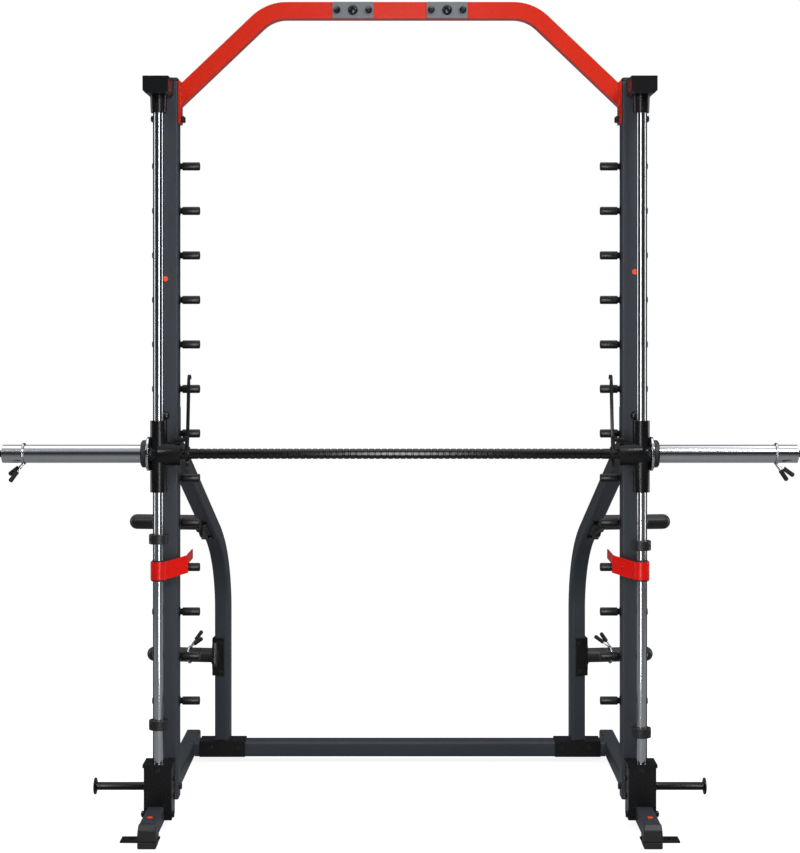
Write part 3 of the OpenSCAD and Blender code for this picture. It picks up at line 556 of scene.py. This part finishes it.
class SmithBase(bpy.types.Operator):
    """Base rails, rear beam, plugs, feet and floor anchors"""
    bl_idname = "smith.base"
    bl_label = "Base"

    def execute(self, context):
        for node in ("base_rail_left", "base_rail_right", "rear_beam", "beam_saddles",
                     "floor_anchors"):
            eased(node, sizes().plate_edge)
        for node in ("tube_end_plugs", "rubber_feet"):
            eased(node, sizes().moulded_edge)
        eased("marker_plugs", 0.5 * MM)
        self.rail_welds()
        return {"FINISHED"}

    def rail_welds(self):
        """Beads where the rear beam meets the rails."""
        bm = bmesh.new()
        low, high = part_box("rear_beam")
        for x in (low.x, high.x):
            weld_bead(bm, (x, low.y + 5 * MM, high.z), (x, high.y - 5 * MM, high.z))
            for y in (low.y, high.y):
                weld_bead(bm, (x, y, low.z + 5 * MM), (x, y, high.z - 5 * MM))
        piece(bm, "beam_welds", "rear_beam", stands_for=False)


class SmithUprights(bpy.types.Operator):
    """Uprights with their foot welds"""
    bl_idname = "smith.uprights"
    bl_label = "Uprights"

    def execute(self, context):
        for side in ("left", "right"):
            eased("upright_" + side, sizes().plate_edge)
            self.foot_welds(side)
        return {"FINISHED"}

    def foot_welds(self, side):
        bm = bmesh.new()
        low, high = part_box("upright_" + side)
        rail_low, rail_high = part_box("base_rail_" + side)
        for y in (low.y, high.y):
            weld_bead(bm, (rail_low.x + 5 * MM, y, low.z), (rail_high.x - 5 * MM, y, low.z))
        for x in (rail_low.x, rail_high.x):
            weld_bead(bm, (x, low.y, low.z - 1 * MM), (x, high.y, low.z - 1 * MM))
        piece(bm, "upright_welds_" + side, "upright_" + side, stands_for=False)


class SmithPegs(bpy.types.Operator):
    """Turned rack pegs and the nuts that hold them"""
    bl_idname = "smith.pegs"
    bl_label = "Rack pegs"

    def execute(self, context):
        for side, name in ((LEFT, "left"), (RIGHT, "right")):
            self.pegs(side, name)
        self.nuts()
        return {"FINISHED"}

    def pegs(self, side, name):
        """Each peg has a flange on the upright, a neck, and a body with a chamfered tip."""
        bm = bmesh.new()
        low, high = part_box("upright_" + name)
        face = high.x if side == LEFT else low.x
        for lo, hi in solids("rack_pegs_" + name):
            flange = (hi.z - lo.z) / 2
            body = flange - 2.5 * MM
            tip = (hi.x - face) if side == LEFT else (face - lo.x)
            origin = (face, (lo.y + hi.y) / 2, (lo.z + hi.z) / 2)
            lathe(bm, [(0, 0), (flange, 0), (flange, 1.6 * MM), (flange - 0.9 * MM, 2.5 * MM),
                       (body - 2 * MM, 2.6 * MM), (body - 3 * MM, 4 * MM),
                       (body - 3 * MM, 7.2 * MM), (body - 2.4 * MM, 8.2 * MM),
                       (body - 0.9 * MM, 8.6 * MM), (body, 9.6 * MM),
                       (body, tip - 2.4 * MM), (body - 0.7 * MM, tip - 1 * MM),
                       (body - 2 * MM, tip), (0, tip)],
                  at(origin, (-side, 0, 0)), sides=40)
        piece(bm, "turned_pegs_" + name, "rack_pegs_" + name)

    def nuts(self):
        bm = bmesh.new()
        for lo, hi in solids("peg_nuts"):
            side = LEFT if hi.x < 0 else RIGHT
            root = hi.x if side == LEFT else lo.x
            place = at((root, (lo.y + hi.y) / 2, (lo.z + hi.z) / 2), (side, 0, 0))
            lathe(bm, turned((hi.y - lo.y) / 2, 0, 1 * MM, 0.2 * MM), place)
            hexagon(bm, place, BOLT_FLATS, 1 * MM, hi.x - lo.x)
            thread(bm, place, BOLT_RADIUS, 1 * MM, 5 * MM, pitch=1 * MM)
        piece(bm, "peg_nuts_threaded", "peg_nuts")


class SmithGuides(bpy.types.Operator):
    """Guide rods, top arms, collars and stop rings"""
    bl_idname = "smith.guides"
    bl_label = "Guides"

    def execute(self, context):
        for side in ("left", "right"):
            self.rod(side)
            eased("top_arm_" + side, sizes().block_edge)
        eased("stop_rings", sizes().block_edge)
        self.collars()
        self.clamp_screws()
        return {"FINISHED"}

    def rod(self, side):
        bm = bmesh.new()
        low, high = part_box("guide_rod_" + side)
        centre = middle((low, high))
        lathe(bm, turned((high.x - low.x) / 2, low.z, high.z, 1.5 * MM),
              Matrix.Translation((centre.x, centre.y, 0)), sides=72)
        piece(bm, "ground_rod_" + side, "guide_rod_" + side)

    def collars(self):
        bm = bmesh.new()
        for lo, hi in solids("rod_collars"):
            centre = middle((lo, hi))
            top = (hi.x - lo.x) / 2
            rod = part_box("guide_rod_left")
            bore = (rod[1].x - rod[0].x) / 2 + 0.1 * MM
            height = hi.z - lo.z
            lathe(bm, [(bore, 0), (top - 3.2 * MM, 0), (top - 2 * MM, 1.2 * MM),
                       (top - 0.4 * MM, height - 11 * MM), (top - 0.4 * MM, height - 9.4 * MM),
                       (top - 1.4 * MM, height - 8.8 * MM), (top - 1.4 * MM, height - 7.6 * MM),
                       (top, height - 7 * MM), (top, height - 1 * MM), (top - 1 * MM, height),
                       (bore, height)],
                  Matrix.Translation((centre.x, centre.y, lo.z)), sides=64)
        piece(bm, "turned_collars", "rod_collars")

    def clamp_screws(self):
        """A cap screw across the split of each stop ring, sunk in its outer wall."""
        bm = bmesh.new()
        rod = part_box("guide_rod_right")
        inner = (rod[1].x - rod[0].x) / 2
        for lo, hi in solids("stop_rings"):
            side = LEFT if hi.x < 0 else RIGHT
            centre = middle((lo, hi))
            outer = (hi.y - lo.y) / 2
            across = (inner + outer) / 2
            reach = (outer ** 2 - across ** 2) ** 0.5
            for y in (-1, 1):
                place = at((centre.x + side * across, centre.y + y * (reach - 3 * MM), centre.z),
                           (0, y, 0))
                socket_head(bm, place, 4.5 * MM, 3 * MM)
        piece(bm, "ring_screws", "stop_rings", slot="black_oxide_steel", stands_for=False)


class SmithFeet(bpy.types.Operator):
    """Foot brackets with their bolts, and the band pegs"""
    bl_idname = "smith.feet"
    bl_label = "Foot brackets"

    def execute(self, context):
        for side in ("left", "right"):
            eased("foot_bracket_" + side, sizes().plate_edge)
        eased("foot_bracket_bolts", sizes().plate_edge)
        self.band_pegs()
        return {"FINISHED"}

    def band_pegs(self):
        """A turned peg with a root washer and a dished end disc, bolted through the bracket."""
        bm = bmesh.new()
        for lo, hi in solids("band_pegs"):
            side = LEFT if hi.x < 0 else RIGHT
            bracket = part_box("foot_bracket_left" if side == LEFT else "foot_bracket_right")
            # the bracket's lid overhangs its side wall
            root = (bracket[0].x + 3 * MM) if side == LEFT else (bracket[1].x - 3 * MM)
            end = abs((lo.x if side == LEFT else hi.x) - root)
            inside = abs((hi.x if side == LEFT else lo.x) - root)
            disc = (hi.z - lo.z) / 2
            shank = disc / 2 - 0.5 * MM
            place = at((root, (lo.y + hi.y) / 2, (lo.z + hi.z) / 2), (side, 0, 0))
            lathe(bm, [(0, 0), (shank + 6 * MM, 0), (shank + 6 * MM, 3 * MM),
                       (shank + 5 * MM, 4 * MM), (shank + 1.5 * MM, 4 * MM), (shank, 5.5 * MM),
                       (shank, end - 9 * MM), (shank + 1.5 * MM, end - 6.5 * MM),
                       (disc - 1.5 * MM, end - 6 * MM), (disc, end - 4.5 * MM),
                       (disc, end - 1.5 * MM), (disc - 1.5 * MM, end),
                       (disc - 6 * MM, end - 0.4 * MM), (disc - 7 * MM, end - 1.2 * MM),
                       (0, end - 1.2 * MM)], place, sides=56)
            inner = at(place.translation, (-side, 0, 0))
            hexagon(bm, inner, BOLT_FLATS, 4 * MM, 12 * MM)
            thread(bm, inner, BOLT_RADIUS, 12 * MM, inside)
        piece(bm, "turned_band_pegs", "band_pegs")


class SmithBraces(bpy.types.Operator):
    """Rear braces with their plates and bolts"""
    bl_idname = "smith.braces"
    bl_label = "Braces"

    def execute(self, context):
        for node in ("brace_left", "brace_right", "brace_flanges", "horn_brackets", "horn_bolts",
                     "beam_bolts"):
            eased(node, sizes().plate_edge)
        self.post_welds()
        self.upright_bolts()
        return {"FINISHED"}

    def post_welds(self):
        """Beads round the foot of each post, on its saddle."""
        bm = bmesh.new()
        for side in (LEFT, RIGHT):
            low, high = next(b for b in solids("beam_saddles") if b[0].x * side > 0)
            centre = middle((low, high))
            corner = Vector((24, 24, 0)) * MM
            bead_round(bm, centre - corner, centre + corner, high.z)
        piece(bm, "post_welds", "beam_saddles", stands_for=False)

    def upright_bolts(self):
        """Domed coach heads on washers in front, and nuts on the flanges behind."""
        bm = bmesh.new()
        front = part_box("upright_left")[0].y
        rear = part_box("brace_flanges")[1].y
        flange_middle = middle(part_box("brace_flanges")).z
        for lo, hi in solids("brace_bolts"):
            centre = middle((lo, hi))
            head = at((centre.x, front, centre.z), (0, -1, 0))
            lathe(bm, [(0, 0), (12 * MM, 0), (12 * MM, 1.4 * MM), (11.4 * MM, 2 * MM),
                       (10.2 * MM, 2 * MM), (9.8 * MM, 3.4 * MM), (8.2 * MM, 5.3 * MM),
                       (5.6 * MM, 6.5 * MM), (2.6 * MM, 7 * MM), (0, 7 * MM)], head)
            tail = at((centre.x, rear, centre.z), (0, 1, 0))
            end = hi.y - rear
            # only the upper bolt of each pair has its nut on the flange
            if end > NUT_HEIGHT + 0.5 * MM and centre.z > flange_middle:
                hexagon(bm, tail, BOLT_FLATS, 0, NUT_HEIGHT)
            thread(bm, tail, BOLT_RADIUS, 0, end)
        piece(bm, "coach_bolts", "brace_bolts")


class SmithHorns(bpy.types.Operator):
    """Plate storage horns on the braces"""
    bl_idname = "smith.horns"
    bl_label = "Storage horns"

    def execute(self, context):
        for node in ("upper_horns", "lower_horns"):
            eased(node, sizes().plate_edge)
        return {"FINISHED"}


class SmithPullUp(bpy.types.Operator):
    """Pull-up bar with its flanges, grey plates and bolts"""
    bl_idname = "smith.pull_up"
    bl_label = "Pull-up bar"

    def execute(self, context):
        eased("pullup_bar", sizes().tube_corner)
        eased("pullup_flanges", sizes().block_edge)
        eased("pullup_plates", sizes().plate_edge)
        self.bolts()
        return {"FINISHED"}

    def bolts(self):
        """Cap screws at the ends of each grey plate, a domed bolt between them, and the bolts
        through the flanges."""
        bm = bmesh.new()
        plate_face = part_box("pullup_plates")[0].y
        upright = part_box("upright_right")
        for lo, hi in solids("pullup_bolts"):
            centre = middle((lo, hi))
            if hi.x - lo.x > 50 * MM:
                side = LEFT if centre.x < 0 else RIGHT
                face = side * (abs(upright[0].x) - 6 * MM)
                head = at((face, centre.y, centre.z), (-side, 0, 0))
                lathe(bm, turned(10 * MM, 0, 2 * MM, 0.4 * MM), head)
                hexagon(bm, head, BOLT_FLATS, 2 * MM, 2 * MM + NUT_HEIGHT)
                tail = at((side * upright[1].x, centre.y, centre.z), (side, 0, 0))
                hexagon(bm, tail, BOLT_FLATS, 0, 6 * MM)
                thread(bm, tail, BOLT_RADIUS, 6 * MM, 7 * MM)
                continue
            place = at((centre.x, plate_face, centre.z), (0, -1, 0))
            radius = (hi.x - lo.x) / 2
            if radius < 12 * MM:
                socket_head(bm, place, radius, 7 * MM)
            else:
                lathe(bm, [(0, 0), (radius, 0), (radius, 2.2 * MM), (radius - 0.8 * MM, 3 * MM),
                           (0.88 * radius, 3 * MM), (0.84 * radius, 4.4 * MM),
                           (0.7 * radius, 6 * MM), (0.5 * radius, 6.8 * MM), (0, 7 * MM)], place)
        piece(bm, "pullup_fastenings", "pullup_bolts")


class SmithBar(bpy.types.Operator):
    """Knurled bar shaft, parking hooks and bearings"""
    bl_idname = "smith.bar"
    bl_label = "Bar"

    def execute(self, context):
        self.shaft()
        for side in ("left", "right"):
            eased("hook_" + side, sizes().block_edge)
        eased("bar_bearings", sizes().plate_edge)
        return {"FINISHED"}

    def shaft(self):
        """Bands of knurling with a narrow groove between each two, and plain ends."""
        bm = bmesh.new()
        low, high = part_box("bar_shaft")
        centre = middle((low, high))
        radius = (high.z - low.z) / 2
        half = (high.x - low.x) / 2
        hook = abs(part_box("hook_right")[0].x)
        band, groove, deep = sizes().knurl_band, 6 * MM, 1.4 * MM
        profile = [(0, -half), (radius - 1 * MM, -half), (radius, 1 * MM - half)]
        count = int(2 * (hook - 20 * MM) / band)
        start = -count * band / 2
        for i in range(count + 1):
            x = start + i * band
            profile += [(radius, x - groove / 2), (radius - deep, x - groove / 4),
                        (radius - deep, x + groove / 4), (radius, x + groove / 2)]
        profile += [(radius, half - 1 * MM), (radius - 1 * MM, half), (0, half)]
        lathe(bm, profile, at(centre, X_AXIS), sides=64)
        piece(bm, "knurled_shaft", "bar_shaft")


class SmithCarriages(bpy.types.Operator):
    """Carriages on the guide rods, with their bushes and end seals"""
    bl_idname = "smith.carriages"
    bl_label = "Carriages"

    def execute(self, context):
        for side in ("left", "right"):
            eased("carriage_" + side, sizes().block_edge)
            self.seals(side)
        eased("linear_bushes", 0.6 * MM)
        return {"FINISHED"}

    def seals(self, side):
        """A lipped wiper ring in each end of the carriage, round the rod."""
        bm = bmesh.new()
        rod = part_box("guide_rod_" + side)
        radius = (rod[1].x - rod[0].x) / 2 + 0.35 * MM
        centre = middle(rod)
        bushes = [b for b in solids("linear_bushes") if abs(middle(b).x - centre.x) < 0.1]
        top = max(b[1].z for b in bushes)
        bottom = min(b[0].z for b in bushes)
        for z, way in ((top, 1), (bottom, -1)):
            lathe(bm, [(radius, 0), (radius + 4.8 * MM, 0), (radius + 4.8 * MM, 1.2 * MM),
                       (radius + 2 * MM, 1.8 * MM), (radius, 1.8 * MM), (radius, 0)],
                  at((centre.x, centre.y, z), (0, 0, way)), sides=48)
        piece(bm, "rod_wipers_" + side, "linear_bushes", slot="black_rubber", stands_for=False)


class SmithSleeves(bpy.types.Operator):
    """Plate sleeves, their rings and end bolts"""
    bl_idname = "smith.sleeves"
    bl_label = "Sleeves"

    def execute(self, context):
        for side in ("left", "right"):
            eased("sleeve_" + side, sizes().plate_edge)
            eased("sleeve_ring_" + side, sizes().plate_edge)
        eased("sleeve_end_bolts", sizes().plate_edge)
        return {"FINISHED"}


class SmithClips(bpy.types.Operator):
    """Spring clips on the sleeves and the lower horns, wound from one wire each"""
    bl_idname = "smith.clips"
    bl_label = "Spring clips"

    wire = 2.4 * MM                 # radius of the wire
    root = 9 * MM                   # from the middle plane to where an arm leaves the coil
    arms = (Vector((24, -8, 34)) * MM, Vector((30, 8, 22)) * MM)

    def execute(self, context):
        for side, name in ((LEFT, "left"), (RIGHT, "right")):
            sleeve = middle(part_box("sleeve_" + name))
            self.clip("bar_clip", name, sleeve, side * X_AXIS, -Z_AXIS)
            horn = next(m for m in frame["record"]["mounts"] if m["name"] == "lower_horn_" + name)
            self.clip("stored_clip", name, Vector(horn["pos_m"]),
                      -Vector(horn["axis"]).normalized(), Z_AXIS)
        return {"FINISHED"}

    def clip(self, kind, side, on_axis, lean, up):
        """A clip round the axis through on_axis. Its arms lean along the axis and stand up."""
        node = f"{kind}_{side}"
        corners = [v.co.copy() for v in frame["nodes"][node].data.vertices]
        steps = [(c - on_axis).dot(lean) for c in corners]
        reaches = [(c - on_axis - lean * step).length for c, step in zip(corners, steps)]
        bore = min(reaches)
        inner = [step for step, reach in zip(steps, reaches) if reach < bore + 0.05 * MM]
        centre = on_axis + lean * (min(inner) + max(inner)) / 2
        across = up.cross(lean)
        if kind == "stored_clip":
            across = -across
        place = Matrix.Translation(centre) @ Matrix((lean, across, up)).transposed().to_4x4()
        self.spring(node, place, bore + WIRE_GAP)
        self.grips(f"{kind}_grips_{side}", place, bore + WIRE_GAP)

    def ends(self, place, radius):
        """The root and the end of each arm."""
        for arm in self.arms:
            start = Vector((0, self.root if arm.y > 0 else -self.root, 0.94 * radius))
            yield place @ start, place @ (start + arm)

    def spring(self, node, place, radius):
        bm = bmesh.new()
        start = atan2(-self.root, 0.94 * radius)
        turns = 2 * 2 * pi - 2 * start
        count = 120
        coil = []
        for i in range(count + 1):
            angle = start + turns * i / count
            along = (i / count - 0.5) * 0.88 * 2 * self.wire
            coil.append(place @ Vector((along, radius * sin(angle), radius * cos(angle))))
        (_, first), (_, last) = self.ends(place, radius)
        sweep(bm, [first, *coil, last], self.wire, sides=14)
        piece(bm, node + "_wound", node)

    def grips(self, node, place, radius):
        """Moulded grips with ribs round them and a domed tip."""
        bm = bmesh.new()
        for root, end in self.ends(place, radius):
            profile = [(2.6 * MM, -16 * MM), (5.6 * MM, -16 * MM), (6.4 * MM, -15 * MM)]
            for i in range(6):
                rib = (-12.5 + 4 * i) * MM
                profile += [(6.4 * MM, rib), (5.7 * MM, rib + 0.8 * MM),
                            (5.7 * MM, rib + 1.6 * MM), (6.4 * MM, rib + 2.4 * MM)]
            profile += [(6.4 * MM, 13.5 * MM), (5.6 * MM, 15.5 * MM), (4.2 * MM, 17 * MM),
                        (2.2 * MM, 17.8 * MM), (0, 18 * MM)]
            lathe(bm, profile, at(end, (end - root).normalized()), sides=28)
        piece(bm, node + "_ribbed", node)


class SmithCatches(bpy.types.Operator):
    """Safety catches and their bushes"""
    bl_idname = "smith.catches"
    bl_label = "Safety catches"

    def execute(self, context):
        for side in ("left", "right"):
            eased("catch_" + side, sizes().plate_edge)
            eased("catch_bush_" + side, sizes().plate_edge)
        return {"FINISHED"}


class SmithStage(bpy.types.Operator):
    """Pale floor, soft lights and the camera"""
    bl_idname = "smith.stage"
    bl_label = "Stage"

    camera_gap = 5.0        # from the front of the base to the camera
    camera_height = 1.4
    focal_mm = 81.2
    shift = -0.1354

    def execute(self, context):
        self.floor()
        self.surroundings(context.scene)
        self.light("key", (2.2, -3.0, 3.9), (0.5, 0, 2.3), (1.2, 1.2), 90)
        self.light("fill", (-2.6, -3.0, 3.5), (-0.5, 0, 2.3), (1.0, 1.0), 34)
        self.light("front", (0, -2.5, 1.2), (0, 0, 1.2), (0.3, 2.4), 28)
        self.light("overhead", (0, 0.4, 4.6), (0, 0, 1.0), (4.0, 3.0), 50)
        self.light("side_left", (-3.8, 0.9, 1.6), (0, 0, 1.1), (0.8, 2.6), 26)
        self.light("side_right", (3.8, 0.9, 1.6), (0, 0, 1.1), (0.8, 2.6), 34)
        self.camera(context.scene)
        return {"FINISHED"}

    def floor(self):
        """Matt white paint, lifted where it is looked at, so that it ends without an edge."""
        bm = bmesh.new()
        bmesh.ops.create_circle(bm, cap_ends=True, segments=96, radius=9)
        mesh = bpy.data.meshes.new("floor")
        bm.to_mesh(mesh)
        bm.free()
        obj = bpy.data.objects.new("floor", mesh)
        obj.location.z = -0.5 * MM
        bpy.context.collection.objects.link(obj)
        paint, tree, where = material("matt_white_floor_paint")
        cloud = add(tree, "ShaderNodeTexNoise", {"Vector": where, "Scale": per_metre(400)})
        tone = add(tree, "ShaderNodeMix", {"Factor": cloud.outputs["Fac"], 6: linear("#8c8c8c"),
                                           7: linear("#949494")}, data_type="RGBA")
        matt = add(tree, "ShaderNodeBsdfDiffuse", {"Color": tone.outputs[2]})
        glow = add(tree, "ShaderNodeEmission", {"Strength": 0.88})
        bright = add(tree, "ShaderNodeAddShader", {0: matt.outputs[0], 1: glow.outputs[0]})
        seen = add(tree, "ShaderNodeLightPath")
        both = add(tree, "ShaderNodeMixShader", {0: seen.outputs["Is Camera Ray"],
                                                 1: matt.outputs[0], 2: bright.outputs[0]})
        add(tree, "ShaderNodeOutputMaterial", {"Surface": both.outputs[0]})
        mesh.materials.append(paint)

    def surroundings(self, scene):
        """White behind the machine. What it reflects is darker near the horizon than above."""
        scene.view_settings.view_transform = "Standard"
        world = bpy.data.worlds.new("studio")
        world.use_nodes = True
        scene.world = world
        tree = world.node_tree
        tree.nodes.clear()
        way = add(tree, "ShaderNodeTexCoord")
        xyz = add(tree, "ShaderNodeSeparateXYZ", {"Vector": way.outputs["Generated"]})
        height = add(tree, "ShaderNodeMapRange",
                     {"Value": xyz.outputs["Z"], "From Min": -1.0, "From Max": 1.0})
        ramp = add(tree, "ShaderNodeValToRGB", {"Fac": height.outputs[0]})
        stops = ((0.0, 0.3), (0.44, 0.2), (0.49, 0.04), (0.68, 0.05), (0.78, 0.3), (0.86, 0.6),
                 (1.0, 0.7))
        for place, grey in stops:
            ends = {0.0: ramp.color_ramp.elements[0], 1.0: ramp.color_ramp.elements[-1]}
            element = ends.get(place) or ramp.color_ramp.elements.new(place)
            element.color = (grey, grey, 1.02 * grey, 1)
        seen = add(tree, "ShaderNodeLightPath")
        lit = add(tree, "ShaderNodeBackground", {"Color": ramp.outputs["Color"], "Strength": 0.9})
        plain = add(tree, "ShaderNodeBackground", {"Color": (1, 1, 1, 1), "Strength": 1.0})
        both = add(tree, "ShaderNodeMixShader", {0: seen.outputs["Is Camera Ray"],
                                                 1: lit.outputs[0], 2: plain.outputs[0]})
        add(tree, "ShaderNodeOutputWorld", {"Surface": both.outputs[0]})

    def light(self, name, place, target, size, watts):
        data = bpy.data.lights.new(name, "AREA")
        data.shape = "RECTANGLE"
        data.size, data.size_y = size
        data.energy = watts
        obj = bpy.data.objects.new(name, data)
        bpy.context.collection.objects.link(obj)
        obj.visible_camera = False
        obj.location = place
        obj.rotation_euler = (Vector(target) - Vector(place)).to_track_quat("-Z", "Y").to_euler()

    def camera(self, scene):
        data = bpy.data.cameras.new("camera")
        data.lens = self.focal_mm
        data.sensor_width = 36
        data.shift_y = self.shift
        data.clip_end = 60
        obj = bpy.data.objects.new("camera", data)
        bpy.context.collection.objects.link(obj)
        obj.location = (0, CAD_BOX[0][1] - self.camera_gap, self.camera_height)
        obj.rotation_euler = (radians(90), 0, 0)
        scene.camera = obj


OPERATORS = (SmithStage, SmithBase, SmithUprights, SmithPegs, SmithGuides, SmithFeet, SmithBraces,
             SmithHorns, SmithPullUp, SmithBar, SmithCarriages, SmithSleeves, SmithClips,
             SmithCatches)


class SmithPanel(bpy.types.Panel):
    """Lists the colours, the sizes and each group of pieces"""
    bl_idname = "VIEW3D_PT_smith"
    bl_label = "Smith Machine"
    bl_space_type = "VIEW_3D"
    bl_region_type = "UI"
    bl_category = "Smith Machine"

    def draw(self, context):
        for group in (context.scene.smith_colours, context.scene.smith_sizes):
            for name in type(group).__annotations__:
                self.layout.prop(group, name)
        for operator in OPERATORS:
            self.layout.operator(operator.bl_idname)


CLASSES = (SmithColours, SmithSizes, *OPERATORS, SmithPanel)


def register():
    for cls in CLASSES:
        bpy.utils.register_class(cls)
    bpy.types.Scene.smith_colours = bpy.props.PointerProperty(type=SmithColours)
    bpy.types.Scene.smith_sizes = bpy.props.PointerProperty(type=SmithSizes)


def unregister():
    del bpy.types.Scene.smith_colours
    del bpy.types.Scene.smith_sizes
    for cls in reversed(CLASSES):
        bpy.utils.unregister_class(cls)


def main():
    register()
    for operator in OPERATORS:
        group, name = operator.bl_idname.split(".")
        getattr(getattr(bpy.ops, group), name)()


if __name__ == "__main__":
    main()
